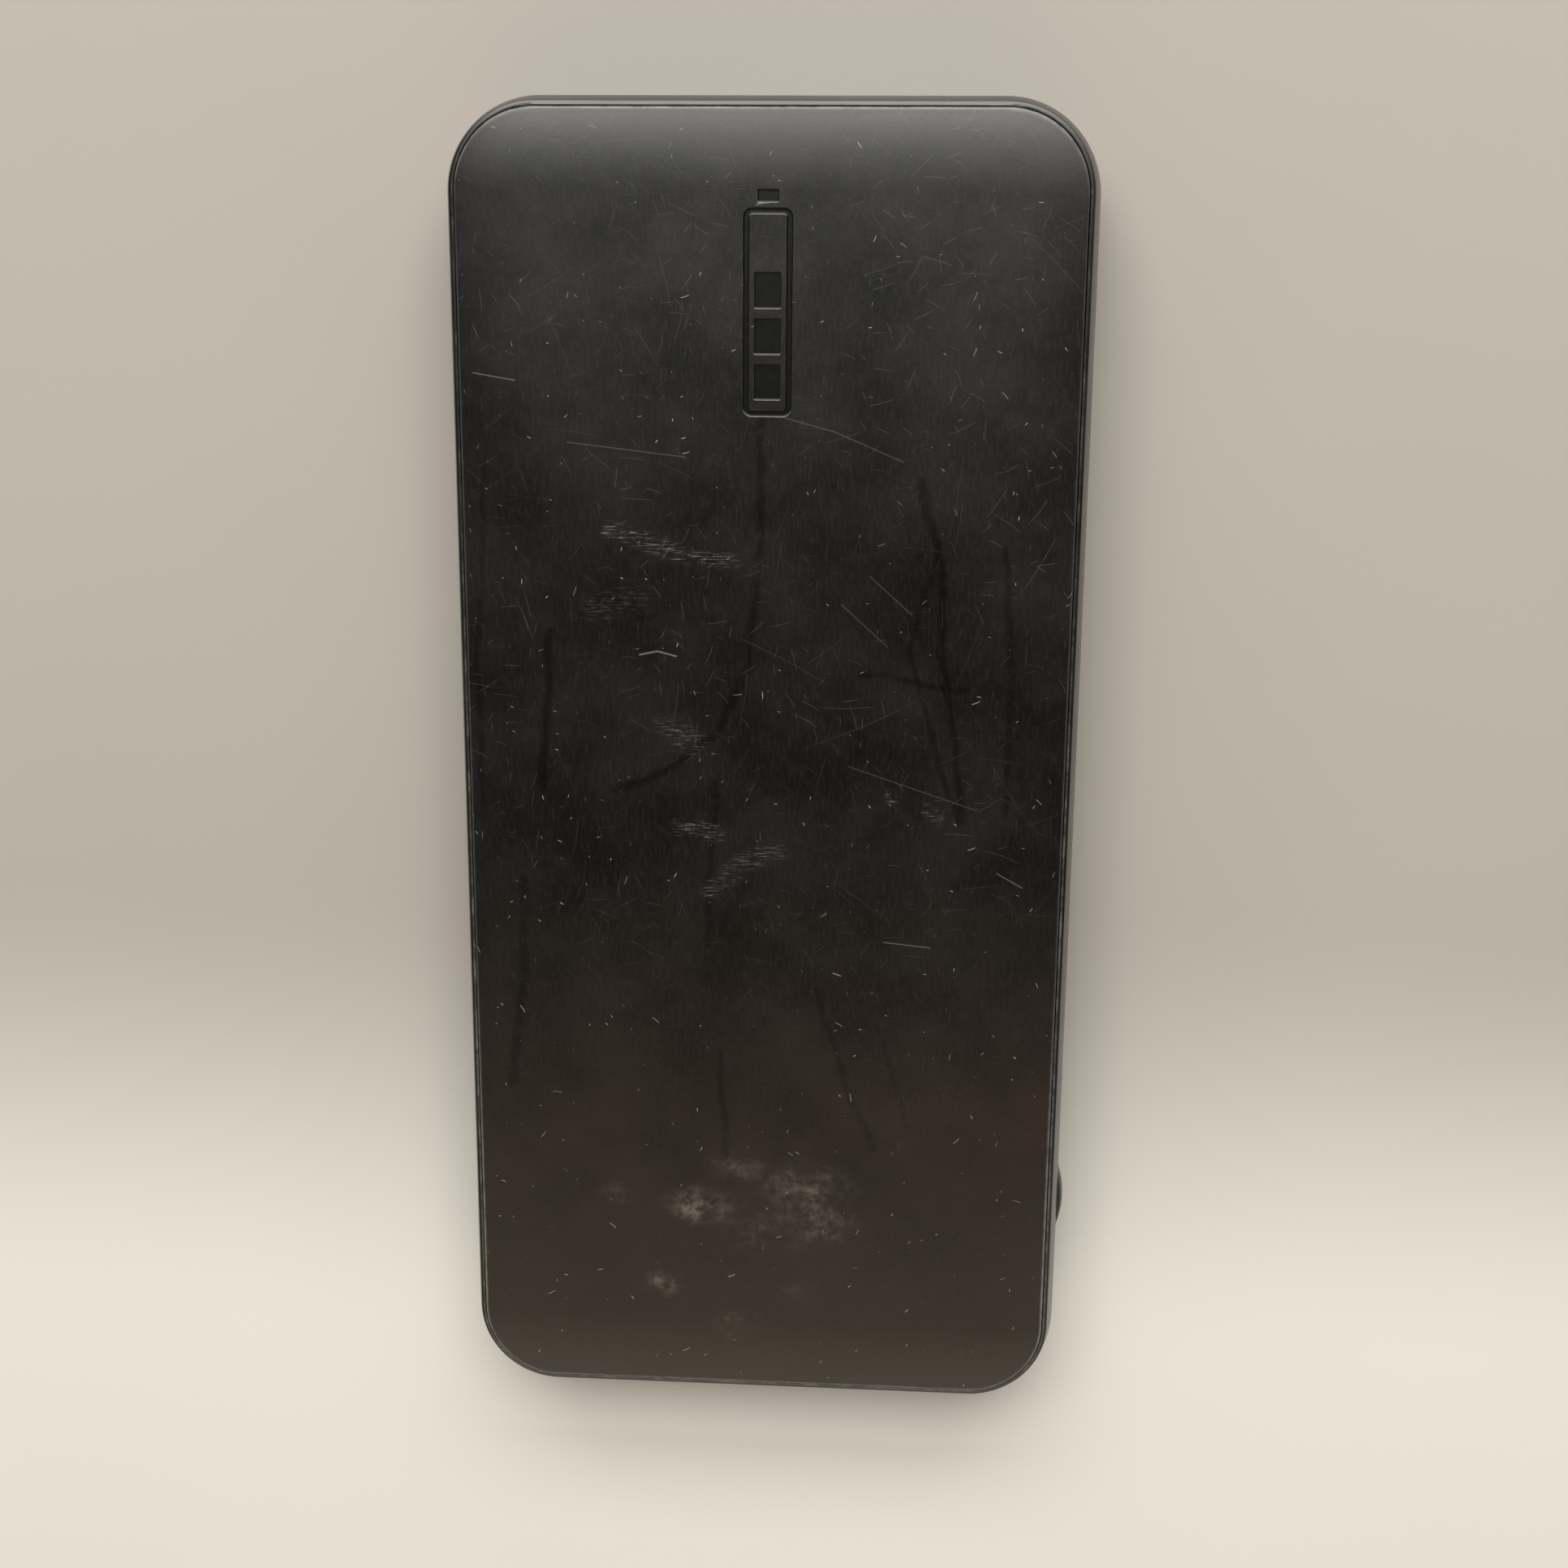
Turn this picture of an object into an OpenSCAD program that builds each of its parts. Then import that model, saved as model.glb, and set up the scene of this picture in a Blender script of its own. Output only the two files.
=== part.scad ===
// Slim portable charger: two-shell case, crowned front cover, side button, three sockets
// Frame: X across the width, Y along the length, Z from the back face to the front cover
// Millimetres; the origin is the centre of the flat back face

/* [Case] */
// Width across the widest part of the two long sides
body_w = 68; // [66:0.5:72]
// Length across the widest part of the two ends
body_l = 145.5; // [145:0.5:150]
// Thickness from the back face to the highest point of the cover
body_t = 15; // [14.8:0.1:15.6]
// Corner radius in plan
corner_r = 10; // [9.5:0.5:11]
// Radius of the barrel-shaped side wall, in section
side_r = 20; // [20:1:26]
// Height of the widest part of the side wall
widest_z = 8.25; // [8.2:0.05:8.3]
// Radius of the edge between the side wall and the back face
back_r = 2.5; // [1.5:0.1:3]
// Radius of the shoulder between the side wall and the rim
rim_r = 0.4; // [0.3:0.05:0.5]
// How far the rim lies below the highest point of the cover
rim_drop = 0.8; // [0.6:0.1:1.2]
// Thickness of the floor of the rear housing
floor_t = 1.5; // [1.2:0.1:1.8]
// Thickness of the side wall at its widest
wall_t = 2; // [1.9:0.1:2.1]

/* [Cover] */
// Distance from the widest part of the side to the pocket that holds the cover
pocket_in = 1.5; // [1.4:0.05:1.5]
// Open seam between the cover and the rim
seam = 0.15; // [0.1:0.05:0.25]
// Thickness of the cover at its centre
cover_t = 2.1; // [1.8:0.1:2.3]
// Fall of the crowned border of the cover, from its flat middle to its edge
crown_fall = 0.6; // [0.3:0.1:0.7]
// Radius of the outer edge of the cover
edge_r = 0.3; // [0.15:0.05:0.4]
// Depth of the battery mark pressed into the cover
mark_depth = 0.35; // [0.2:0.05:0.5]
// Length of the battery mark along Y
mark_l = 23; // [16:0.5:24]
// Width of the battery mark along X
mark_w = 5; // [4:0.2:8]
// Centre of the battery mark along Y
mark_y = 52; // [40:0.5:54]

/* [Button] */
// Length of the power button along the side
button_l = 8.4; // [7:0.2:9]
// Height of the power button across the side
button_h = 3.4; // [2.6:0.2:4]
// How far the button stands out of the side wall
button_proud = 0.7; // [0.6:0.1:1.5]
// Centre of the button along Y
button_y = -49; // [-50:0.1:-48]
// Clearance around the button in its slot
button_gap = 0.2; // [0.15:0.05:0.3]
// Number of charge level windows beside the button
window_n = 4; // [3:1:4]
// Distance between neighbouring windows
window_pitch = 1.8; // [1.6:0.1:1.8]
// Diameter of a window pin
window_d = 1.1; // [0.8:0.1:1.2]

/* [Sockets] */
// Distance of each large socket from the centre line
socket_x = 15.5; // [14:0.5:16]
// Width of the shell of a large socket
socket_w = 13.1; // [13:0.1:13.3]
// Height of the shell of a large socket
socket_h = 5.7; // [5.6:0.1:5.9]
// Depth of the shell of a large socket
socket_l = 14; // [13:0.5:15]
// Width of the shell of the small oval socket
oval_w = 8.94; // [8.9:0.01:9]
// Height of the shell of the small oval socket
oval_h = 3.26; // [3.2:0.01:3.3]
// Depth of the shell of the small oval socket
oval_l = 7.3; // [6.5:0.1:8]
// Sheet thickness of the socket shells
sheet_t = 0.3; // [0.25:0.05:0.35]

/* [Inside] */
// Thickness of one battery cell
cell_t = 5.3; // [5:0.1:5.4]
// Width of one battery cell
cell_w = 59.6; // [56:0.2:60]
// Thickness of the circuit board
board_t = 1.2; // [1:0.1:1.2]
// Height of the underside of the circuit board
board_z = 3.4; // [3.2:0.1:3.6]

/* [Hidden] */
$fn = 64;
rim_z = body_t - rim_drop;
side_z = body_t / 2;
cav_x = body_w / 2 - wall_t;
cav_y = body_l / 2 - wall_t;
cav_r = corner_r - wall_t;
ledge_z = body_t - cover_t;
cover_x = body_w / 2 - pocket_in - seam;
cover_y = body_l / 2 - pocket_in - seam;
cover_r = corner_r - pocket_in - seam;
skirt_gap = 0.2;
skirt_t = 0.8;
skirt_z = ledge_z - 2;
crown_r = (cover_r * cover_r + crown_fall * crown_fall) / (2 * crown_fall);
hook_z = skirt_z + 0.4;
hook_h = 0.9;
hook_l = 5;
hook_out = 0.6;
hook_y = [-20, 15, 50];
hook_x = [-12, 12];
board_top = board_z + board_t;
board_x = cav_x - 1.3;
board_y0 = -(cav_y - 0.4);
board_y1 = -40.2;
rib_y = -39.4;
rib_t = 1;
cell_y1 = cav_y - 5;
cell_y0 = -38.5;
terrace_l = 4;
cell_z = [floor_t + 0.2, floor_t + 0.4 + cell_t];
button_z = side_z;
window_y = [for (i = [0 : window_n - 1]) button_y - 7.6 - i * window_pitch];
front_y = -(body_l / 2 - 0.4);
socket_z = board_top + socket_h / 2;
oval_z = board_top + oval_h / 2;
post = [25.5, -42.6];
tab_x = [-21, -9];
tab_w = 6;
switch_z = board_top + 1.75;
travel = 0.3;

// Node to show: all, or one name from the list

// ---- shared shapes ----

module round_rect(hx, hy, r) {
    square([2 * hx, 2 * (hy - r)], center = true);
    square([2 * (hx - r), 2 * hy], center = true);
    for (x = [-1, 1], y = [-1, 1])
        translate([x * (hx - r), y * (hy - r)])
            circle(r);
}

module plate(hx, hy, r, z0, z1) {
    translate([0, 0, z0])
        linear_extrude(z1 - z0)
            round_rect(hx, hy, r);
}

module block(x0, x1, y0, y1, z0, z1) {
    translate([x0, y0, z0])
        cube([x1 - x0, y1 - y0, z1 - z0]);
}

module stadium(w, h) {
    square([w - h, h], center = true);
    for (s = [-1, 1])
        translate([s * (w - h) / 2, 0])
            circle(h / 2);
}

// Stadium prism along X from x0 to x1, long side along Y
module side_stadium(w, h, x0, x1) {
    translate([x0, 0, 0])
        rotate([90, 0, 90])
            linear_extrude(x1 - x0)
                stadium(w, h);
}

// ---- case outline ----

function arc_end(c, p, r) = c + r * (p - c) / norm(p - c);

// Sector of a circle at p between two points well outside it
module sector(p, r, a, b) {
    intersection() {
        translate(p)
            circle(r, $fn = 360);
        polygon([p, p + 2 * (a - p), p + 1.6 * (a - p) + 1.6 * (b - p), p + 2 * (b - p)]);
    }
}

// Half section of the case from x = 0 out to the widest point
module half_section(half) {
    c = [half - side_r, widest_z];
    b = [c[0] + sqrt(pow(side_r - back_r, 2) - pow(widest_z - back_r, 2)), back_r];
    s = [c[0] + sqrt(pow(side_r - rim_r, 2) - pow(rim_z - rim_r - widest_z, 2)), rim_z - rim_r];
    tb = arc_end(c, b, side_r);
    ts = arc_end(c, s, side_r);
    polygon([[0, 0], [b[0], 0], tb, ts, [s[0], rim_z], [0, rim_z]]);
    sector(c, side_r, tb, ts);
    sector(b, back_r, [b[0], 0], tb);
    sector(s, rim_r, ts, [s[0], rim_z]);
}

// Solid whose border has one section all round: children are the half
// sections across X and across Y, and hx, hy, r are its outline
module rounded_sweep(hx, hy, r) {
    rotate([90, 0, 0])
        linear_extrude(2 * (hy - r), center = true)
            for (m = [0, 1])
                mirror([m, 0])
                    children(0);
    rotate([90, 0, 90])
        linear_extrude(2 * (hx - r), center = true)
            for (m = [0, 1])
                mirror([m, 0])
                    children(1);
    for (i = [0 : 3])
        translate([(i == 0 || i == 3 ? 1 : -1) * (hx - r), (i < 2 ? 1 : -1) * (hy - r), 0])
            rotate([0, 0, 90 * i])
                rotate_extrude(angle = 90)
                    intersection() {
                        translate([r - hx, 0])
                            children(0);
                        square([r + 1, body_t + 1]);
                    }
}

module case_solid() {
    rounded_sweep(body_w / 2, body_l / 2, corner_r) {
        half_section(body_w / 2);
        half_section(body_l / 2);
    }
}

// ---- case parts ----

module hook_row(grow, depth) {
    for (s = [-1, 1]) {
        for (y = hook_y)
            block(
                min(s * (cav_x - 0.6), s * (cav_x + depth)),
                max(s * (cav_x - 0.6), s * (cav_x + depth)),
                y - hook_l / 2 - grow, y + hook_l / 2 + grow,
                hook_z - grow, hook_z + hook_h + grow);
    }
    for (x = hook_x)
        block(
            x - hook_l / 2 - grow, x + hook_l / 2 + grow,
            cav_y - 0.6, cav_y + depth,
            hook_z - grow, hook_z + hook_h + grow);
}

module rear_housing() color("#161616") {
    difference() {
        case_solid();
        plate(cav_x, cav_y, cav_r, floor_t, body_t);
        plate(cover_x + seam, cover_y + seam, cover_r + seam, ledge_z, body_t + 1);
        // openings for the sockets in the lower end wall
        for (s = [-1, 1])
            block(
                s * socket_x - socket_w / 2 - 0.2, s * socket_x + socket_w / 2 + 0.2,
                -body_l / 2 - 1, -cav_y + 1,
                board_top - 0.2, board_top + socket_h + 0.2);
        translate([0, -cav_y + 1, oval_z])
            rotate([90, 0, 0])
                linear_extrude(wall_t + 2)
                    stadium(oval_w + 0.4, oval_h + 0.4);
        // slot for the button and holes for the windows in the right wall
        translate([0, button_y, button_z])
            side_stadium(button_l + 2 * button_gap, button_h + 2 * button_gap,
                cav_x - 1, body_w / 2 + 1);
        for (y = window_y)
            translate([cav_x - 1, y, side_z])
                rotate([0, 90, 0])
                    cylinder(h = wall_t + 2, d = window_d + 0.1);
        hook_row(0.3, hook_out + 0.3);
    }
    // wall between the cells and the board
    block(-cav_x - 0.5, cav_x + 0.5, rib_y - rib_t / 2, rib_y + rib_t / 2, floor_t - 0.5, 7.6);
    // board posts and rests
    for (s = [-1, 1]) {
        difference() {
            translate([s * post[0], post[1], floor_t - 0.5])
                cylinder(h = board_z - floor_t + 0.5, d = 5);
            translate([s * post[0], post[1], floor_t + 0.2])
                cylinder(h = board_z, d = 2.1);
        }
        block(
            s * 22 - 5, s * 22 + 5, -60.6, -59.4,
            floor_t - 0.5, board_z);
    }
}

// Half section of the cover plate: flat middle, falling arc, rounded edge
module cover_section(half) {
    c = [half - cover_r, body_t - crown_r];
    e = [half - edge_r, c[1] + sqrt(pow(crown_r - edge_r, 2) - pow(cover_r - edge_r, 2))];
    te = arc_end(c, e, crown_r);
    polygon([[0, ledge_z], [half, ledge_z], [half, e[1]], te, [c[0], body_t], [0, body_t]]);
    intersection() {
        translate(c)
            circle(crown_r, $fn = 1440);
        polygon([
            [c[0], ledge_z + 0.5], [te[0], ledge_z + 0.5], te,
            [te[0], body_t + 1], [c[0], body_t + 1]]);
    }
    sector(e, edge_r, te, [half, e[1]]);
}

module cover_plate() {
    rounded_sweep(cover_x, cover_y, cover_r) {
        cover_section(cover_x);
        cover_section(cover_y);
    }
}

module mark() {
    cell_l = mark_l - 2.2;
    bars = 4;
    pitch = (cell_l - 2.4) / bars;
    translate([0, mark_y - 1.1, body_t - mark_depth])
        linear_extrude(mark_depth + 1) {
            difference() {
                round_rect(mark_w / 2, cell_l / 2, 0.9);
                round_rect(mark_w / 2 - 0.55, cell_l / 2 - 0.55, 0.35);
            }
            for (i = [0 : bars - 2])
                translate([0, -cell_l / 2 + 1.2 + pitch * (i + 0.5)])
                    square([mark_w - 2.3, pitch - 1], center = true);
            translate([0, cell_l / 2 + 1.2])
                square([mark_w * 0.42, 1.2], center = true);
        }
}

module front_cover() color("#1b1b1b") {
    difference() {
        cover_plate();
        mark();
    }
    // skirt with snap hooks, open beside the button
    difference() {
        union() {
            difference() {
                plate(cav_x - skirt_gap, cav_y - skirt_gap, cav_r - skirt_gap,
                    skirt_z, ledge_z + 0.5);
                plate(cav_x - skirt_gap - skirt_t, cav_y - skirt_gap - skirt_t,
                    cav_r - skirt_gap - skirt_t, skirt_z - 1, ledge_z + 1);
            }
            intersection() {
                hook_row(0, hook_out);
                plate(cav_x + hook_out - 0.2, cav_y + hook_out - 0.2, cav_r,
                    hook_z, hook_z + hook_h);
            }
        }
        block(cav_x - 3, cav_x + 1, button_y - 7, button_y + 7, skirt_z - 1, ledge_z);
        for (s = [-1, 1])
            block(s * 20 - 1.5, s * 20 + 1.5, -cav_y - 1, cav_y + 1, skirt_z - 1, ledge_z);
        for (y = [-31, 0, 32, 62])
            block(-cav_x - 1, cav_x + 1, y - 1.5, y + 1.5, skirt_z - 1, ledge_z);
    }
}

module power_button() color("#101010") {
    tip = body_w / 2 + button_proud;
    long_r = 10.85;
    short_r = 4.3;
    translate([0, button_y, button_z]) {
        intersection() {
            side_stadium(button_l, button_h, cav_x - 0.6, tip + 1);
            translate([tip - short_r, 0, 0])
                rotate([90, 0, 0])
                    cylinder(r = short_r, h = 20, center = true);
            translate([tip + 0.05 - long_r, 0, 0])
                cylinder(r = long_r, h = 20, center = true);
        }
        side_stadium(button_l + 2, button_h + 2, cav_x - 1.1, cav_x - 0.2);
    }
}

module light_pipe() color("#d8dde0") {
    y0 = window_y[window_n - 1] - 0.6;
    y1 = window_y[0] + 0.6;
    block(cav_x - 1, cav_x - 0.1, y0, y1, board_top + 2.2, side_z + 0.9);
    for (y = window_y) {
        block(cav_x - 1, cav_x - 0.1, y - 0.6, y + 0.6, board_top + 0.3, board_top + 2.3);
        translate([cav_x - 0.5, y, side_z])
            rotate([0, 90, 0])
                cylinder(h = wall_t + 0.45, d = window_d);
    }
}

// ---- battery ----

module cell(z0) {
    r = 1.2;
    translate([0, cell_y1, z0 + cell_t / 2])
        rotate([90, 0, 0])
            linear_extrude(cell_y1 - cell_y0 - terrace_l)
                round_rect(cell_w / 2, cell_t / 2, r);
    block(-cell_w / 2 + 1, cell_w / 2 - 1, cell_y0, cell_y0 + terrace_l + 0.2,
        z0 + cell_t / 2 - 0.5, z0 + cell_t / 2 + 0.5);
}

module battery_cell_lower() color("#b9bcc0") cell(cell_z[0]);
module battery_cell_upper() color("#b9bcc0") cell(cell_z[1]);

module cell_floor_tape() color("#e8e6df") {
    for (x = [-16, 16])
        block(x - 9, x + 9, -28, 58, floor_t, floor_t + 0.2);
}

module cell_adhesive_tape() color("#e8e6df") {
    for (x = [-16, 16])
        block(x - 9, x + 9, -28, 58, cell_z[0] + cell_t, cell_z[1]);
}

module foam_pad() color("#3a3a3c") {
    block(-22, 22, -20, 54, cell_z[1] + cell_t + 0.02, ledge_z - 0.02);
}

module tab(x) {
    z0 = cell_z[0] + cell_t / 2 + 0.5;
    z1 = cell_z[1] + cell_t / 2 + 0.5;
    block(x - tab_w / 2, x + tab_w / 2, cell_y0 - 0.3, cell_y0 - 0.1, z0, z1 + 0.2);
    for (z = [z0, z1])
        block(x - tab_w / 2, x + tab_w / 2, cell_y0 - 0.3, cell_y0 + 2.6, z, z + 0.2);
}

module positive_tab() color("#c9c6bd") tab(tab_x[0]);
module negative_tab() color("#c9c6bd") tab(tab_x[1]);

module tab_insulating_tape() color("#c08a2a") {
    z = cell_z[1] + cell_t / 2 + 0.72;
    block(-27, 3, cell_y0 + 0.1, cell_y0 + 3.7, z, z + 0.1);
}

module lead(x) {
    r = 0.7;
    bend = 1.5;
    top = 9.3;
    y0 = cell_y0 - 0.3;
    y1 = rib_y - rib_t / 2 - 1.3;
    translate([x, y1, top])
        rotate([-90, 0, 0])
            cylinder(h = y0 - y1, r = r);
    translate([x, y1, top - bend])
        rotate([0, -90, 0])
            rotate([0, 0, -90])
                rotate_extrude(angle = 90)
                    translate([bend, 0])
                        circle(r);
    translate([x, y1 - bend, board_top])
        cylinder(h = top - bend - board_top, r = r);
}

module battery_lead_red() color("#a01818") lead(tab_x[0]);
module battery_lead_black() color("#0c0c0c") lead(tab_x[1]);

// ---- board ----

module main_board() color("#14502c") {
    r = 6.8;
    difference() {
        translate([0, 0, board_z])
            linear_extrude(board_t) {
                for (s = [-1, 1])
                    translate([s * (board_x - r), board_y0 + r])
                        circle(r);
                translate([-board_x, board_y0 + r])
                    square([2 * board_x, board_y1 - board_y0 - r]);
                translate([-board_x + r, board_y0])
                    square([2 * (board_x - r), r + 1]);
            }
        for (s = [-1, 1]) {
            translate([s * post[0], post[1], board_z - 1])
                cylinder(h = board_t + 2, d = 2.4);
            for (t = [-1, 1])
                block(
                    s * socket_x + t * (socket_w / 2 - 0.15) - 0.4,
                    s * socket_x + t * (socket_w / 2 - 0.15) + 0.4,
                    front_y + 8.8, front_y + 11.2, board_z - 1, board_top + 1);
        }
    }
}

module board_screws() color("#b0b0ae") {
    for (s = [-1, 1])
        translate([s * post[0], post[1], 0])
            difference() {
                union() {
                    translate([0, 0, floor_t + 0.5])
                        cylinder(h = board_top - floor_t - 0.4, d = 1.9);
                    translate([0, 0, board_top])
                        cylinder(h = 1.2, d = 3.8);
                }
                for (a = [0, 90])
                    rotate([0, 0, a])
                        translate([-1, -0.22, board_top + 0.6])
                            cube([2, 0.44, 1]);
            }
}

// ---- large sockets ----

module usb_a_shell(x) {
    translate([x, 0, 0]) {
        difference() {
            block(-socket_w / 2, socket_w / 2, front_y, front_y + socket_l,
                board_top, board_top + socket_h);
            block(-socket_w / 2 + sheet_t, socket_w / 2 - sheet_t,
                front_y - 1, front_y + socket_l - sheet_t,
                board_top + sheet_t, board_top + socket_h - sheet_t);
            // slots that free the spring fingers, top and bottom
            for (s = [-1, 1], t = [-1, 1])
                block(s * 3.2 + t * 1.15 - 0.15, s * 3.2 + t * 1.15 + 0.15,
                    front_y + 4, front_y + 9.5, board_top - 1, board_top + socket_h + 1);
            for (s = [-1, 1])
                block(s * 3.2 - 1.3, s * 3.2 + 1.3,
                    front_y + 3.7, front_y + 4, board_top - 1, board_top + socket_h + 1);
        }
        // solder legs
        for (t = [-1, 1])
            block(
                t * (socket_w / 2 - sheet_t / 2) - sheet_t / 2,
                t * (socket_w / 2 - sheet_t / 2) + sheet_t / 2,
                front_y + 9, front_y + 11, board_z + 0.1, board_top + 1);
    }
}

module usb_a_insulator(x) {
    in_top = board_top + socket_h - sheet_t;
    back = front_y + socket_l - sheet_t - 0.05;
    translate([x, 0, 0])
        difference() {
            union() {
                block(-6.15, 6.15, back - 3.2, back, board_top + sheet_t + 0.05, in_top - 0.05);
                block(-5.55, 5.55, back - 12.1, back - 3.1, in_top - 2.56, in_top - 0.72);
            }
            for (k = [-3.5, -1, 1, 3.5])
                block(k - 0.6, k + 0.6, back - 13, back + 1, in_top - 2.95, in_top - 2.55);
            block(-4.2, 4.2, back - 0.7, back + 1, board_top, in_top - 2.5);
        }
}

module usb_a_contacts(x) {
    in_top = board_top + socket_h - sheet_t;
    back = front_y + socket_l - sheet_t - 0.05;
    translate([x, 0, 0])
        for (k = [-3.5, -1, 1, 3.5]) {
            block(k - 0.5, k + 0.5, back - 11.6, back - 0.15, in_top - 2.86, in_top - 2.61);
            block(k - 0.5, k + 0.5, back - 0.4, back - 0.15,
                board_top + sheet_t + 0.05, in_top - 2.61);
        }
}

module usb_a_shell_left() color("#c3c6c8") usb_a_shell(-socket_x);
module usb_a_shell_right() color("#c3c6c8") usb_a_shell(socket_x);
module usb_a_insulator_left() color("#f0f0ee") usb_a_insulator(-socket_x);
module usb_a_insulator_right() color("#f0f0ee") usb_a_insulator(socket_x);
module usb_a_contacts_left() color("#d6b25a") usb_a_contacts(-socket_x);
module usb_a_contacts_right() color("#d6b25a") usb_a_contacts(socket_x);

// ---- oval socket ----

module usb_c_shell() color("#c3c6c8") {
    translate([0, front_y + oval_l, oval_z])
        rotate([90, 0, 0])
            linear_extrude(oval_l)
                difference() {
                    stadium(oval_w, oval_h);
                    stadium(oval_w - 2 * sheet_t, oval_h - 2 * sheet_t);
                }
}

module usb_c_insulator() color("#191919") {
    back = front_y + oval_l;
    translate([0, back, oval_z])
        rotate([90, 0, 0])
            linear_extrude(1.8)
                stadium(oval_w - 2 * sheet_t - 0.1, oval_h - 2 * sheet_t - 0.1);
    block(-3.35, 3.35, front_y + 0.9, back - 1.7, oval_z - 0.3, oval_z + 0.3);
}

module usb_c_contacts() color("#d6b25a") {
    back = front_y + oval_l;
    for (i = [0 : 11], s = [0, 1])
        block(
            -2.75 + 0.5 * i - 0.13, -2.75 + 0.5 * i + 0.13,
            front_y + 1.3, back - 1.85,
            oval_z + (s == 0 ? 0.3 : -0.38), oval_z + (s == 0 ? 0.38 : -0.3));
}

// ---- side switch ----

module switch_body() color("#222222") {
    translate([0, button_y, 0])
        difference() {
            block(cav_x - 5.6, cav_x - 2.2, -3.5, 3.5, board_top, board_top + 3.4);
            block(cav_x - 4.2, cav_x - 1, -1.6, 1.6, switch_z - 0.85, switch_z + 0.85);
            block(cav_x - 2.8, cav_x - 1, -1.6, 1.6, switch_z - 0.85, board_top + 4);
        }
}

module switch_frame() color("#c3c6c8") {
    translate([0, button_y, 0])
        difference() {
            block(cav_x - 5.85, cav_x - 2.9, -3.75, 3.75, board_top + 0.4, board_top + 3.65);
            block(cav_x - 5.65, cav_x - 1, -3.55, 3.55, board_top, board_top + 3.45);
        }
}

module switch_plunger() color("#101010") {
    translate([0, button_y, 0]) {
        block(cav_x - 3.7, cav_x - 1.2, -0.9, 0.9, switch_z - 0.6, switch_z + 0.6);
        block(cav_x - 3.7, cav_x - 3.1, -1.4, 1.4, switch_z - 0.7, switch_z + 0.7);
    }
}

// ---- small parts on the board ----

module status_leds() color("#f4f2e6") {
    for (y = window_y)
        block(cav_x - 3, cav_x - 1.4, y - 0.4, y + 0.4, board_top, board_top + 0.7);
}

module power_inductor() color("#3c3c3e") {
    translate([0, -52, board_top])
        linear_extrude(4.2)
            round_rect(3.5, 3.5, 0.6);
}

module controller_chip() color("#0e0e10") {
    block(-11.5, -6.5, -53.5, -48.5, board_top, board_top + 0.9);
}

module transistor(x, y) {
    block(x - 2, x + 2, y - 2.5, y + 2.5, board_top + 0.2, board_top + 1.6);
    for (i = [0 : 3], s = [-1, 1])
        block(
            x + (s < 0 ? -3 : 1.9), x + (s < 0 ? -1.9 : 3),
            y - 1.9 + 1.27 * i - 0.2, y - 1.9 + 1.27 * i + 0.2,
            board_top, board_top + 0.4);
}

module power_transistors() color("#141416") {
    transistor(9, -51);
    transistor(-17, -51);
}

module polymer_capacitors() color("#b8babd") {
    for (x = [16.5, -0.3])
        translate([x, x > 0 ? -50 : -60.6, board_top])
            cylinder(h = 5.6, d = 6.2);
}

module ceramic_capacitors() color("#a08a68") {
    for (p = [[-13.5, -56.5], [-10.5, -56.5], [5.5, -46], [8, -46], [13, -45.5], [-5, -46]])
        block(p[0] - 0.8, p[0] + 0.8, p[1] - 0.4, p[1] + 0.4, board_top, board_top + 0.8);
}

module chip_resistors() color("#1a1a1c") {
    for (p = [[-8, -46], [-7.5, -56.5], [2.5, -45.5], [22, -57], [23.6, -57], [25.2, -57], [-14, -46.2]])
        block(p[0] - 0.5, p[0] + 0.5, p[1] - 0.25, p[1] + 0.25, board_top, board_top + 0.35);
}

rear_housing();
front_cover();
power_button();
light_pipe();
battery_cell_lower();
battery_cell_upper();
cell_floor_tape();
cell_adhesive_tape();
foam_pad();
positive_tab();
negative_tab();
tab_insulating_tape();
battery_lead_red();
battery_lead_black();
main_board();
board_screws();
usb_a_shell_left();
usb_a_insulator_left();
usb_a_contacts_left();
usb_a_shell_right();
usb_a_insulator_right();
usb_a_contacts_right();
usb_c_shell();
usb_c_insulator();
usb_c_contacts();
switch_body();
switch_frame();
switch_plunger();
status_leds();
power_inductor();
controller_chip();
power_transistors();
polymer_capacitors();
ceramic_capacitors();
chip_resistors();
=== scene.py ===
"""Looks of the slim portable charger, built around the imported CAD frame.

Lengths are in metres and MM is one millimetre. The materials measure in millimetres.
"""

import math

import bmesh
import bpy
from mathutils import Euler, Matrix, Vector


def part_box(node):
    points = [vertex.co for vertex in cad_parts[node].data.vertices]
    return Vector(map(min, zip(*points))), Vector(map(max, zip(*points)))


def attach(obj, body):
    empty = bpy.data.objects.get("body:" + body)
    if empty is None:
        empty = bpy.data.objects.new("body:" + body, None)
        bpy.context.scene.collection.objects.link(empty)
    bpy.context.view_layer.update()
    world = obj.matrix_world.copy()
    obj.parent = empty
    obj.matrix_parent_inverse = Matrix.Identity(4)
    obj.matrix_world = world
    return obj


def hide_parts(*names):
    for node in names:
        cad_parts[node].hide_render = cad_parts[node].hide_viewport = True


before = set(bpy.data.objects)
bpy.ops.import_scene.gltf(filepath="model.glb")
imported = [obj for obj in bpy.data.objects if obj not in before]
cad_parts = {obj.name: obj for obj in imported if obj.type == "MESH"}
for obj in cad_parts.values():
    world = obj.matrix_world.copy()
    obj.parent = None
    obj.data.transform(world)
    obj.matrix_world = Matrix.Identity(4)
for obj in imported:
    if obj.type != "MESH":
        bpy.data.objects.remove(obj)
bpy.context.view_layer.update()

MM = 0.001

# ---- sizes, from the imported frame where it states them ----

case_low, case_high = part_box("rear_housing")
cover_low, cover_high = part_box("front_cover")
button_low, button_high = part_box("power_button")

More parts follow.
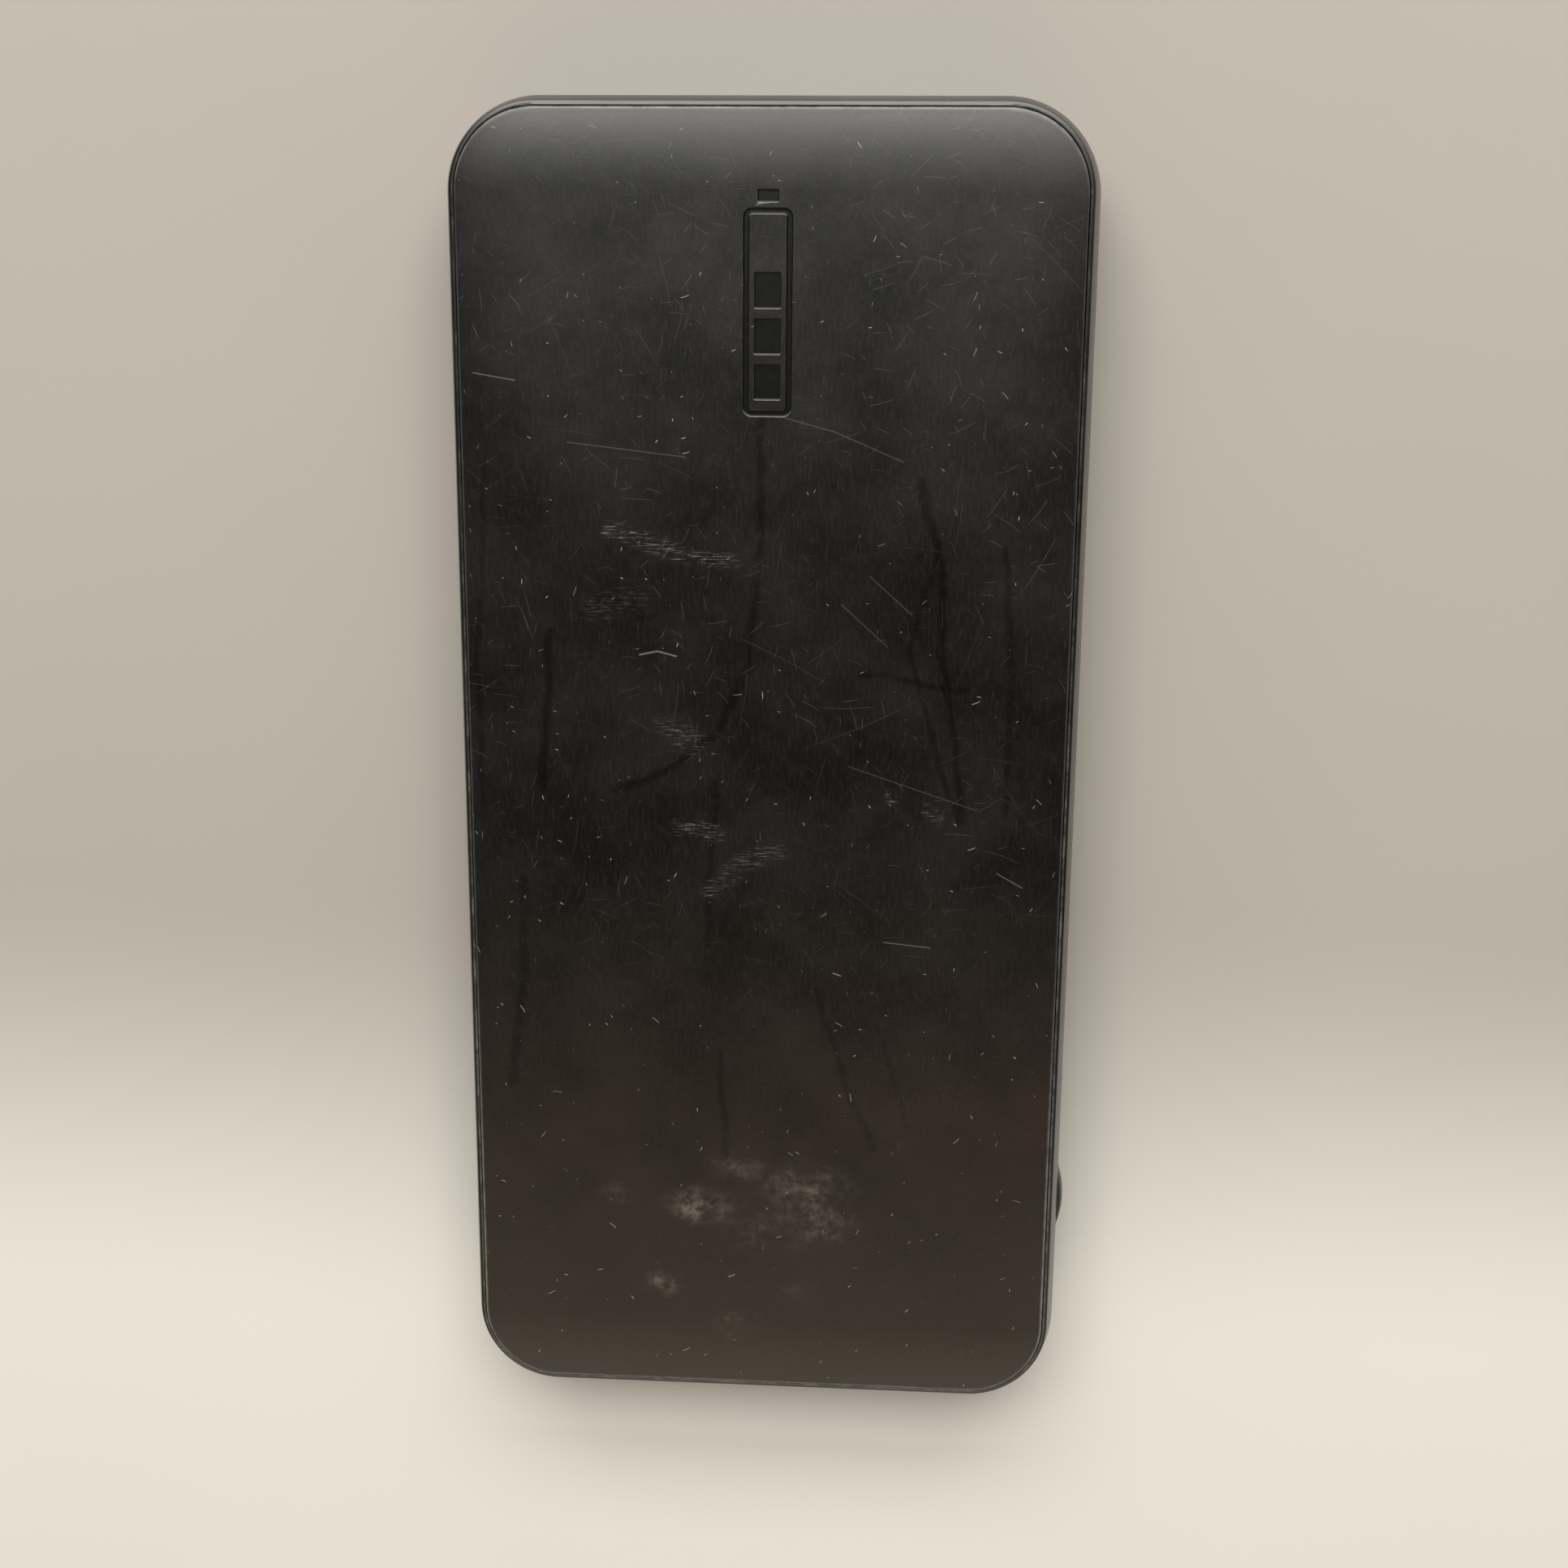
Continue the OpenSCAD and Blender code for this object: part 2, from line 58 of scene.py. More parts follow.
HALF_W = min(case_high.x, -case_low.x)
HALF_L = case_high.y
TOP_Z = cover_high.z
RIM_Z = case_high.z
COVER_X = cover_high.x
CORNER_R = 10 * MM
SIDE_R = 20 * MM
WIDEST_Z = 7.8 * MM
BACK_R = 2.5 * MM
RIM_R = 0.14 * MM
RIM_SLOPE = 12  # degrees
CASE_EDGE = 0.07 * MM
WALL_T = 2 * MM
FLOOR_T = 1.5 * MM
POCKET_IN = 1.5 * MM
COVER_T = 2.1 * MM
LEDGE_Z = TOP_Z - COVER_T
CROWN_FALL = 0.55 * MM
CROWN_POWER = 2.2
EDGE_R = 0.3 * MM
COVER_EDGE = 0.1 * MM
SKIRT_GAP = 0.2 * MM
SKIRT_T = 0.8 * MM
SKIRT_Z = cover_low.z
CAV_X = HALF_W - WALL_T
CAV_Y = HALF_L - WALL_T
PAST = 1 * MM  # how far a cutter runs past what it cuts
SUNK = 0.5 * MM  # how far a fitting reaches into the wall that carries it

HOOK_Z = (SKIRT_Z + 0.4 * MM, SKIRT_Z + 1.3 * MM)
HOOK_L = 5 * MM
HOOK_OUT = 0.6 * MM
HOOK_ROOT = 0.6 * MM
HOOK_GAP = 0.3 * MM
HOOKS_Y = [-20 * MM, 15 * MM, 50 * MM]
HOOKS_X = [-12 * MM, 12 * MM]
NOTCH_HALF = 1.5 * MM
NOTCH_X = 20 * MM
NOTCHES_Y = [-31 * MM, 0, 32 * MM, 62 * MM]
BUTTON_NOTCH = 7 * MM

SOCKET_H = 5.7 * MM
SOCKET_GAP = 0.2 * MM
CROSS_WALL_Y = (-39.9 * MM, -38.9 * MM)
CROSS_WALL_TOP = 7.6 * MM
POST_R = 2.5 * MM
POST_BORE_R = 1.05 * MM
SCREW_HEAD_R = 1.9 * MM
REST_X = 22 * MM
REST_HALF = 5 * MM
REST_Y = (-60.6 * MM, -59.4 * MM)

BUTTON_Y = (button_low.y + button_high.y) / 2
BUTTON_Z = (button_low.z + button_high.z) / 2
BUTTON_L = 8.4 * MM
BUTTON_H = 3.4 * MM
BUTTON_GAP = 0.2 * MM
BUTTON_FLANGE = 1 * MM
BUTTON_EDGE = 0.06 * MM
BUTTON_FILLET = 0.28 * MM
DOME_LONG_R = 10.85 * MM
DOME_SHORT_R = 4.3 * MM
WINDOW_N = 4
WINDOW_PIN_R = 0.6 * MM

MARK_Y = 52 * MM
MARK_W = 5 * MM
MARK_L = 23 * MM
MARK_DEPTH = 0.35 * MM
MARK_R = 0.9 * MM
MARK_LINE = 0.55 * MM
MARK_TERMINAL = 2.2 * MM
MARK_MARGIN = 1.2 * MM
MARK_BAR_GAP = 1 * MM
MARK_BAR_SIDE = 1.15 * MM
MARK_BARS = 3

CORNER_STEPS = 22
SMALLEST_R = 0.02 * MM


# ---- mesh helpers ----

def arc(centre, radius, start, end, steps):
    """Points on an arc, angles in degrees, both ends included."""
    angles = [math.radians(start + (end - start) * i / steps) for i in range(steps + 1)]
    return [(centre[0] + radius * math.cos(a), centre[1] + radius * math.sin(a)) for a in angles]


def outline(hx, hy, r, steps=CORNER_STEPS):
    """Points round a rounded rectangle, counter-clockwise."""
    points = []
    for start, sx, sy in ((0, 1, 1), (90, -1, 1), (180, -1, -1), (270, 1, -1)):
        points += arc((sx * (hx - r), sy * (hy - r)), r, start, start + 90, steps)
    return points


def stadium(half_w, half_h):
    """Points round a slot shape that is longer along its first axis."""
    turn_steps, run_steps = 16, 8
    run = half_w - half_h
    between = [run - 2 * run * i / run_steps for i in range(1, run_steps)]
    points = arc((run, 0), half_h, -90, 90, turn_steps) + [(u, half_h) for u in between]
    return points + arc((-run, 0), half_h, 90, 270, turn_steps) + [(-u, -half_h) for u in between]


def mesh_object(name, bm):
    """A smooth-shaded object in the scene from a bmesh, which is freed."""
    bmesh.ops.remove_doubles(bm, verts=bm.verts, dist=1e-7)
    bmesh.ops.recalc_face_normals(bm, faces=bm.faces)
    mesh = bpy.data.meshes.new(name)
    bm.to_mesh(mesh)
    bm.free()
    for polygon in mesh.polygons:
        polygon.use_smooth = True
    made = bpy.data.objects.new(name, mesh)
    bpy.context.scene.collection.objects.link(made)
    return made


def add_rings(bm, rings):
    """Skins a list of closed rings with the same number of points and closes both ends."""
    loops = [[bm.verts.new(p) for p in ring] for ring in rings]
    count = len(loops[0])
    for a, b in zip(loops, loops[1:]):
        for i in range(count):
            j = (i + 1) % count
            bm.faces.new((a[i], a[j], b[j], b[i]))
    bm.faces.new(list(reversed(loops[0])))
    bm.faces.new(loops[-1])


def swept(name, profile):
    """A closed solid whose border has one section: (x, z) points of the half section across X."""
    bm = bmesh.new()
    rings = []
    for x, z in profile:
        inset = HALF_W - x
        radius = max(CORNER_R - inset, SMALLEST_R)
        rings.append([(px, py, z) for px, py in outline(x, HALF_L - inset, radius)])
    add_rings(bm, rings)
    return mesh_object(name, bm)


def prism(bm, points, low, high, place):
    """Extrudes 2D points from low to high; place turns (u, v, w) into a position."""
    add_rings(bm, [[place(u, v, w) for u, v in points] for w in (low, high)])


def upright(u, v, w):
    return (u, v, w)


def along_y(u, v, w):
    return (u, w, v)


def along_x(u, v, w):
    return (w, u, v)


def box_into(bm, low, high):
    corners = [(low[0], low[1]), (high[0], low[1]), (high[0], high[1]), (low[0], high[1])]
    prism(bm, corners, low[2], high[2], upright)


def moved(points, du, dv):
    return [(u + du, v + dv) for u, v in points]


def cut(target, bm, operation="DIFFERENCE"):
    """Applies a boolean with the solids in bm."""
    tool = mesh_object("cutter", bm)
    step = target.modifiers.new("cut", "BOOLEAN")
    step.operation = operation
    step.solver = "EXACT"
    step.use_self = True
    step.object = tool
    apply_modifiers(target)
    bpy.data.objects.remove(tool)


def apply_modifiers(target):
    """Keeps the result of the modifiers as the object's own mesh."""
    shown = target.evaluated_get(bpy.context.evaluated_depsgraph_get())
    mesh = bpy.data.meshes.new_from_object(shown)
    target.modifiers.clear()
    target.data = mesh


def soften(target, width, angle=35):
    """Rounds the sharp edges and keeps flat faces flat in the shading."""
    edge = target.modifiers.new("edge", "BEVEL")
    edge.width = width
    edge.segments = 2
    edge.limit_method = "ANGLE"
    edge.angle_limit = math.radians(angle)
    edge.use_clamp_overlap = False
    edge.miter_outer = "MITER_ARC"
    apply_modifiers(target)
    for polygon in target.data.polygons:
        polygon.use_smooth = True
    even = target.modifiers.new("even", "WEIGHTED_NORMAL")
    even.keep_sharp = True
    even.weight = 100
    apply_modifiers(target)


# ---- the case ----

def hook_solids(bm, grow, depth):
    """Snap hooks along the two long sides and the far end, or the recesses that take them."""
    low, high = HOOK_Z[0] - grow, HOOK_Z[1] + grow
    half = HOOK_L / 2 + grow
    for y in HOOKS_Y:
        for side in (-1, 1):
            ends = sorted((side * (CAV_X - HOOK_ROOT), side * (CAV_X + depth)))
            box_into(bm, (ends[0], y - half, low), (ends[1], y + half, high))
    for x in HOOKS_X:
        box_into(bm, (x - half, CAV_Y - HOOK_ROOT, low), (x + half, CAV_Y + depth, high))


def case_profile():
    """Half section of the tray: back, barrel side, sloped rim, pocket wall, ledge and cavity."""
    barrel = (HALF_W - SIDE_R, WIDEST_Z)
    reach = math.sqrt((SIDE_R - BACK_R) ** 2 - (WIDEST_Z - BACK_R) ** 2)
    back = (barrel[0] + reach, BACK_R)
    pocket = HALF_W - POCKET_IN
    slope = math.radians(RIM_SLOPE)
    rim_x = pocket
    for _ in range(20):  # the shoulder's height and place settle together
        rim_mid = RIM_Z - (rim_x - pocket) * math.tan(slope) - RIM_R / math.cos(slope)
        rim_x = barrel[0] + math.sqrt((SIDE_R - RIM_R) ** 2 - (rim_mid - WIDEST_Z) ** 2)
    rim = (rim_x, rim_mid)
    back_turn = math.degrees(math.atan2(back[1] - barrel[1], back[0] - barrel[0]))
    rim_turn = math.degrees(math.atan2(rim[1] - barrel[1], rim[0] - barrel[0]))
    points = [(back[0] - 0.3 * MM, 0), (back[0] - 0.05 * MM, 0)]  # these keep the back's shading flat
    points += arc(back, BACK_R, -90, back_turn, 12)
    points += arc(barrel, SIDE_R, back_turn, rim_turn, 16)[1:]
    points += arc(rim, RIM_R, rim_turn, 90 - RIM_SLOPE, 5)[1:]
    points += [(pocket, RIM_Z), (pocket, LEDGE_Z), (CAV_X, LEDGE_Z), (CAV_X, FLOOR_T)]
    return points


def socket_openings(bm):
    for name in ("usb_a_shell_left", "usb_a_shell_right"):
        low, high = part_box(name)
        top = high.z + SOCKET_GAP
        bottom = top - SOCKET_H - 2 * SOCKET_GAP
        box_into(
            bm, (low.x - SOCKET_GAP, -HALF_L - PAST, bottom), (high.x + SOCKET_GAP, -CAV_Y + PAST, top))
    low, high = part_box("usb_c_shell")
    half_w, half_h = (high.x - low.x) / 2 + SOCKET_GAP, (high.z - low.z) / 2 + SOCKET_GAP
    ring = moved(stadium(half_w, half_h), (low.x + high.x) / 2, (low.z + high.z) / 2)
    prism(bm, ring, -HALF_L - PAST, -CAV_Y + PAST, along_y)


def window_places():
    """Middles of the charge level windows along Y."""
    low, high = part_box("light_pipe")
    first, last = high.y - WINDOW_PIN_R, low.y + WINDOW_PIN_R
    return [first + (last - first) * i / (WINDOW_N - 1) for i in range(WINDOW_N)]


def side_openings(bm):
    slot = stadium(BUTTON_L / 2 + BUTTON_GAP, BUTTON_H / 2 + BUTTON_GAP)
    prism(bm, moved(slot, BUTTON_Y, BUTTON_Z), CAV_X - PAST, HALF_W + PAST, along_x)
    for y in window_places():
        ring = arc((y, BUTTON_Z), WINDOW_PIN_R, 0, 345, 23)
        prism(bm, ring, CAV_X - PAST, HALF_W + PAST, along_x)


def post_places():
    """Middles of the two posts under the board screws."""
    low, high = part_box("board_screws")
    return [(side * (high.x - SCREW_HEAD_R), (low.y + high.y) / 2) for side in (-1, 1)]


def case_fittings(bm):
    """The cross wall and the board posts and rests inside the tray."""
    half = CAV_X + SUNK
    foot = FLOOR_T - SUNK
    board_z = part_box("main_board")[0].z
    box_into(bm, (-half, CROSS_WALL_Y[0], foot), (half, CROSS_WALL_Y[1], CROSS_WALL_TOP))
    for x, y in post_places():
        prism(bm, arc((x, y), POST_R, 0, 348.75, 31), foot, board_z, upright)
    for side in (-1, 1):
        middle = side * REST_X
        box_into(bm, (middle - REST_HALF, REST_Y[0], foot), (middle + REST_HALF, REST_Y[1], board_z))


def post_bores(bm):
    board_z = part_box("main_board")[0].z
    for x, y in post_places():
        prism(bm, arc((x, y), POST_BORE_R, 0, 345, 23), FLOOR_T + 0.2 * MM, board_z + PAST, upright)


def make_case():
    case = swept("case_tray", case_profile())
    openings = bmesh.new()
    socket_openings(openings)
    side_openings(openings)
    hook_solids(openings, HOOK_GAP, HOOK_OUT + HOOK_GAP)
    cut(case, openings)
    fittings = bmesh.new()
    case_fittings(fittings)
    cut(case, fittings, "UNION")
    bores = bmesh.new()
    post_bores(bores)
    cut(case, bores)
    soften(case, CASE_EDGE)
    return case


# ---- the cover ----

def cover_profile():
    """Half section of the cover: skirt, edge and crowned border up to the flat middle."""
    radius = CORNER_R - (HALF_W - COVER_X)
    reach = (radius - EDGE_R) / radius
    slope = CROWN_FALL * CROWN_POWER * reach ** (CROWN_POWER - 1) / radius
    turn = 90 - math.degrees(math.atan(slope))
    edge_x = COVER_X - EDGE_R
    edge_z = TOP_Z - CROWN_FALL * reach ** CROWN_POWER - EDGE_R * math.sin(math.radians(turn))
    last = radius - EDGE_R + EDGE_R * math.cos(math.radians(turn))
    skirt = (CAV_X - SKIRT_GAP, CAV_X - SKIRT_GAP - SKIRT_T)
    points = [(skirt[1], LEDGE_Z), (skirt[1], SKIRT_Z), (skirt[0], SKIRT_Z), (skirt[0], LEDGE_Z)]
    points += [(COVER_X, LEDGE_Z)]
    points += arc((edge_x, edge_z), EDGE_R, 0, turn, 8)
    steps = 24
    for i in range(steps - 1, -1, -1):
        out = last * i / steps
        points.append((COVER_X - radius + out, TOP_Z - CROWN_FALL * (out / radius) ** CROWN_POWER))
    return points


def mark_outlines():
    """Outlines of the generic battery mark: both edges of its frame, the terminal and the bars."""
    length = MARK_L - MARK_TERMINAL
    middle = MARK_Y - MARK_TERMINAL / 2
    outer = outline(MARK_W / 2, length / 2, MARK_R, 8)
    inner = outline(MARK_W / 2 - MARK_LINE, length / 2 - MARK_LINE, MARK_R - MARK_LINE, 6)
    pitch = (length - 2 * MARK_MARGIN) / (MARK_BARS + 1)
    bars = []
    for i in range(MARK_BARS):
        bar = outline(MARK_W / 2 - MARK_BAR_SIDE, (pitch - MARK_BAR_GAP) / 2, 0.15 * MM, 3)
        bars.append(moved(bar, 0, -length / 2 + MARK_MARGIN + pitch * (i + 0.5)))
    terminal = moved(outline(MARK_W * 0.21, 0.6 * MM, 0.12 * MM, 3), 0, length / 2 + MARK_MARGIN)
    return [moved(p, 0, middle) for p in [outer, inner, terminal] + bars]


def press_mark(cover):
    """Cuts the frame, the terminal and the bars of the mark into the face."""
    outer, inner, *solid = mark_outlines()
    ring = bmesh.new()
    prism(ring, outer, TOP_Z - MARK_DEPTH, TOP_Z + PAST, upright)
    tool = mesh_object("mark_ring", ring)
    hole = bmesh.new()
    prism(hole, inner, TOP_Z - PAST, TOP_Z + 2 * PAST, upright)
    cut(tool, hole)
    rest = bmesh.new()
    rest.from_mesh(tool.data)
    bpy.data.objects.remove(tool)
    for points in solid:
        prism(rest, points, TOP_Z - MARK_DEPTH, TOP_Z + PAST, upright)
    cut(cover, rest)


def skirt_notches(bm):
    """Gaps in the skirt of the cover: one behind the button and several that let it flex."""
    low, high = SKIRT_Z - PAST, LEDGE_Z - 0.001 * MM
    box_into(
        bm, (CAV_X - 3 * MM, BUTTON_Y - BUTTON_NOTCH, low), (CAV_X + PAST, BUTTON_Y + BUTTON_NOTCH, high))
    for x in (-NOTCH_X, NOTCH_X):
        box_into(bm, (x - NOTCH_HALF, -CAV_Y - PAST, low), (x + NOTCH_HALF, CAV_Y + PAST, high))
    for y in NOTCHES_Y:
        box_into(bm, (-CAV_X - PAST, y - NOTCH_HALF, low), (CAV_X + PAST, y + NOTCH_HALF, high))


def make_cover():
    cover = swept("cover_plate", cover_profile())
    hooks = bmesh.new()
    hook_solids(hooks, 0, HOOK_OUT)
    cut(cover, hooks, "UNION")
    notches = bmesh.new()
    skirt_notches(notches)
    cut(cover, notches)
    press_mark(cover)
    soften(cover, COVER_EDGE)
    return cover


# ---- the button ----

def make_button():
    """A domed slot-shaped cap on a flange that keeps it in the wall."""
    tip = button_high.x
    fillet = BUTTON_FILLET
    neck = CAV_X - 0.2 * MM

    def ring(inset, x=None):
        """A slot-shaped ring at x, or on the dome when x isn't given."""
        points = stadium(BUTTON_L / 2 - inset, BUTTON_H / 2 - inset)
        if x is not None:
            return [(x, u + BUTTON_Y, v + BUTTON_Z) for u, v in points]
        lost = fillet - math.sqrt(max(fillet ** 2 - max(fillet - inset, 0) ** 2, 0))
        return [
            (tip - u * u / (2 * DOME_LONG_R) - v * v / (2 * DOME_SHORT_R) - lost,
             u + BUTTON_Y, v + BUTTON_Z)
            for u, v in points]

    rings = [ring(-BUTTON_FLANGE, button_low.x), ring(-BUTTON_FLANGE, neck), ring(0, neck)]
    for turn in range(0, 91, 15):
        rings.append(ring(fillet * (1 - math.cos(math.radians(turn)))))
    steps = 8
    for i in range(1, steps + 1):
        rings.append(ring(fillet + (BUTTON_H / 2 - fillet - SMALLEST_R) * i / steps))
    bm = bmesh.new()
    add_rings(bm, rings)
    cap = mesh_object("button_cap", bm)
    soften(cap, BUTTON_EDGE, angle=50)
    return cap


# ---- material helpers ----

X_AXIS, Y_AXIS, Z_AXIS = (1, 0, 0), (0, 1, 0), (0, 0, 1)


class Nodes:
    """Adds nodes to one material's tree; a value that is a socket is linked, any other is set."""

    def __init__(self, tree):
        self.tree = tree

    def put(self, socket, value):
        if isinstance(value, bpy.types.NodeSocket):
            self.tree.links.new(value, socket)
        else:
            socket.default_value = value

    def add(self, kind, inputs=None, out=0, **settings):
        node = self.tree.nodes.new(kind)
        for key, value in settings.items():
            setattr(node, key, value)
        for key, value in (inputs or {}).items():
            self.put(node.inputs[key], value)
        return node.outputs[out]

    def math(self, operation, a, b=0.0, c=0.0, clamp=False):
        return self.add("ShaderNodeMath", {0: a, 1: b, 2: c}, operation=operation, use_clamp=clamp)

    def vector(self, operation, a, b=(0, 0, 0), out=0, scale=None):
        inputs = {0: a, 1: b}
        if scale is not None:
            inputs = {0: a, "Scale": scale}
        return self.add("ShaderNodeVectorMath", inputs, out=out, operation=operation)

    def part(self, vector, axis):
        """One coordinate of a vector. A dot product takes less of the shader's store."""
        return self.vector("DOT_PRODUCT", vector, axis, out=1)

    def fade(self, value, low, high, to_low=0.0, to_high=1.0):
        """Smooth step of value from low to high."""
        return self.add(
            "ShaderNodeMapRange",
            {"Value": value, "From Min": low, "From Max": high, "To Min": to_low, "To Max": to_high},
            interpolation_type="SMOOTHSTEP")

    def noise(self, where, scale, detail=3.0, rough=0.5, bend=0.0, out=0):
        return self.add(
            "ShaderNodeTexNoise",
            {"Vector": where, "Scale": scale, "Detail": detail, "Roughness": rough,
             "Distortion": bend}, out=out)

    def blend(self, amount, a, b):
        """Colour between a and b."""
        return self.add("ShaderNodeMix", {0: amount, 6: a, 7: b}, out=2, data_type="RGBA")

    def cells(self, where, scale, **settings):
        """A Voronoi node, for its several outputs."""
        return self.add("ShaderNodeTexVoronoi", {"Vector": where, "Scale": scale}, **settings).node

    def bump(self, height, distance, strength=1.0, normal=None):
        inputs = {"Height": height, "Distance": distance, "Strength": strength}
        if normal is not None:
            inputs["Normal"] = normal
        return self.add("ShaderNodeBump", inputs)


def new_material(name):
    """(material, nodes, shader, place in millimetres)"""
    material = bpy.data.materials.new(name)
    material.use_nodes = True
    nodes = Nodes(material.node_tree)
    shader = material.node_tree.nodes["Principled BSDF"]
    coords = nodes.add("ShaderNodeTexCoord", out=3)
    place = nodes.vector("SCALE", coords, scale=1 / MM)
    return material, nodes, shader, place


def feed(nodes, shader, **values):
    """Links or sets the shader's sockets; underscores stand for spaces."""
    for key, value in values.items():
        nodes.put(shader.inputs[key.replace("_", " ")], value)


def grey(value, tint=(1, 1, 1)):
    return (value * tint[0], value * tint[1], value * tint[2], 1)


# ---- wear on the black plastic ----

def segment_gap(nodes, place, a, b):
    """Distance in millimetres from place to the segment a b on the face."""
    along = Vector((b[0] - a[0], b[1] - a[1], 0))
    offset = nodes.vector("SUBTRACT", place, (a[0], a[1], 0))
    reach = nodes.part(offset, along)
    share = nodes.math("MULTIPLY", reach, 1 / along.length_squared, clamp=True)
    foot = nodes.add(
        "ShaderNodeVectorMath", {0: tuple(along), "Scale": share}, operation="SCALE")
    return nodes.vector("LENGTH", nodes.vector("SUBTRACT", offset, foot), out=1)


def stroke(nodes, place, points, width):
    """A soft line through given points, 1 on the line and 0 at its width."""
    gap = None
    for a, b in zip(points, points[1:]):
        here = segment_gap(nodes, place, a, b)
        gap = here if gap is None else nodes.math("MINIMUM", gap, here)
    return nodes.fade(gap, width, width * 0.1)


def random_strokes(nodes, place, cell, length, width, share, bow):
    """One short line in a share of a Voronoi pattern's cells, turned at random and bowed."""
    pattern = nodes.cells(place, 1 / cell, voronoi_dimensions="2D")
    parts = nodes.add("ShaderNodeSeparateColor", {"Color": pattern.outputs["Color"]}).node
    offset = nodes.vector("SUBTRACT", place, pattern.outputs["Position"])
    angle = nodes.math("MULTIPLY", parts.outputs["Red"], math.pi)
    turned = nodes.add(
        "ShaderNodeVectorRotate", {"Vector": offset, "Angle": angle}, rotation_type="Z_AXIS")
    u, v = nodes.part(turned, X_AXIS), nodes.part(turned, Y_AXIS)
    bend = nodes.math("MULTIPLY", nodes.math("MULTIPLY", u, u), bow)
    across = nodes.math("ABSOLUTE", nodes.math("ADD", v, bend))
    reach = nodes.math("MULTIPLY", parts.outputs["Blue"], length / 2)
    ends = nodes.fade(nodes.math("SUBTRACT", nodes.math("ABSOLUTE", u), reach), 0.0, -length * 0.15)
    line = nodes.fade(across, width, width * 0.2)
    chosen = nodes.math("LESS_THAN", parts.outputs["Green"], share)
    return nodes.math("MULTIPLY", nodes.math("MULTIPLY", line, ends), chosen)


def total(nodes, parts):
    """Sum of masks, held at 1. It takes them one by one, which keeps the shader small."""
    parts = iter(parts)
    result = next(parts)
    for part in parts:
        result = nodes.math("ADD", result, part, clamp=True)
    return result


SMEARS = [
    # (points in millimetres on the face, width, strength)
    ([(-0.5, 40), (-0.7, 27), (-1.7, 14.5), (-5.3, 6.4), (-11, 2.2), (-16.6, 0.3)], 0.75, 0.8),
    ([(16.3, 34), (18.2, 27), (19.4, 12.5), (21.5, -2.8)], 0.7, 0.9),
    ([(18.4, 27.8), (15.3, 16.6), (18.4, 4.3), (21.2, -2.8)], 0.55, 0.7),
    ([(10, 13.5), (15, 12.8), (21.5, 12)], 0.6, 0.8),
    ([(25, 26.8), (26.2, 12), (26, -1.8)], 0.6, 0.7),
    ([(-30, 35), (-31, 15), (-31.2, -3.8)], 0.6, 0.6),
    ([(-22.8, 17.6), (-24, 9), (-23.8, 0.3)], 0.8, 0.9),
    ([(-26.9, -9.9), (-26.6, -24), (-28.5, -34.4)], 1.0, 0.7),
    ([(-5.2, 1.3), (-5.8, -8), (-6.4, -17)], 0.6, 0.6),
    ([(-5, -29.3), (-3.8, -45.7)], 0.6, 0.6),
    ([(6, -22), (9, -33), (12.5, -41)], 0.6, 0.5),
    ([(13, -26), (16, -38)], 0.5, 0.4),
]

SCUFFS = [
    # (points, half width of the patch, strength)
    ([(-16.6, 28.8), (-10, 26.6), (-3.6, 25)], 1.3, 0.9),
    ([(-9.4, -3.6), (-5, -4.4)], 1.4, 0.8),
    ([(-6, -11), (-2.5, -7.6), (1.8, -6.2)], 1.6, 0.5),
    ([(-10.4, 7.4), (-7.4, 5.6)], 1.8, 0.45),
    ([(13.8, 0.2), (14.3, -0.3)], 0.9, 1.0),
    ([(18.2, -1.6), (18.8, -2.4)], 1.0, 0.7),
    ([(-18.5, 20), (-13.5, 21.5)], 2.4, 0.25),
]

DUST_SHAPE = (0.8, 1.3)  # squeeze along X and Y before the radius is measured

DUST = [
    # (centre, radius, strength)
    ((-7.4, -48.6), 4.2, 0.62),
    ((5.4, -45.8), 5.6, 0.48),
    ((7.0, -50.6), 4.6, 0.42),
    ((-11.6, -58.8), 2.6, 0.7),
    ((-2.6, -43.5), 3.6, 0.3),
    ((-16.5, -47.5), 2.4, 0.2),
    ((-3, -63.5), 3.2, 0.2),
    ((4.5, -59.5), 3.0, 0.15),
    ((0.5, -51), 7.0, 0.16),
]

HAIRLINES = [
    # (points, width, strength)
    ([(0.9, 40.6), (7, 39), (14.2, 36)], 0.09, 0.2),
    ([(-13.5, 15.2), (-11.6, 15.6), (-9.6, 15.1)], 0.14, 0.6),
    ([(13.2, -16.4), (18.4, -16.9)], 0.1, 0.35),
    ([(25.4, -8.2), (28.2, -9.8)], 0.1, 0.35),
    ([(-30.8, 44.6), (-26.4, 43.9)], 0.1, 0.4),
    ([(-21, 37.6), (-8.5, 36.2)], 0.09, 0.2),
    ([(9, 3.4), (23, -1.2)], 0.08, 0.18),
    ([(8, 21), (13, 16.5)], 0.08, 0.2),
    ([(11, 24), (15.5, 20)], 0.08, 0.2),
]


def drawn_strokes(nodes, place, strokes):
    """All the soft lines of a list, each with its own strength."""
    return total(nodes, (
        nodes.math("MULTIPLY", stroke(nodes, place, points, width), strength)
        for points, width, strength in strokes))


def dust_patches(nodes, place):
    """Soft ovals with their long side across the face."""
    wide, tall = DUST_SHAPE
    place = nodes.vector("MULTIPLY", place, (wide, tall, 0))

    def patch(x, y, radius, strength):
        gap = nodes.vector("DISTANCE", place, (x * wide, y * tall, 0), out=1)
        return nodes.fade(gap, radius, 0.0, 0.0, strength)

    return total(nodes, (patch(*centre, radius, strength) for centre, radius, strength in DUST))


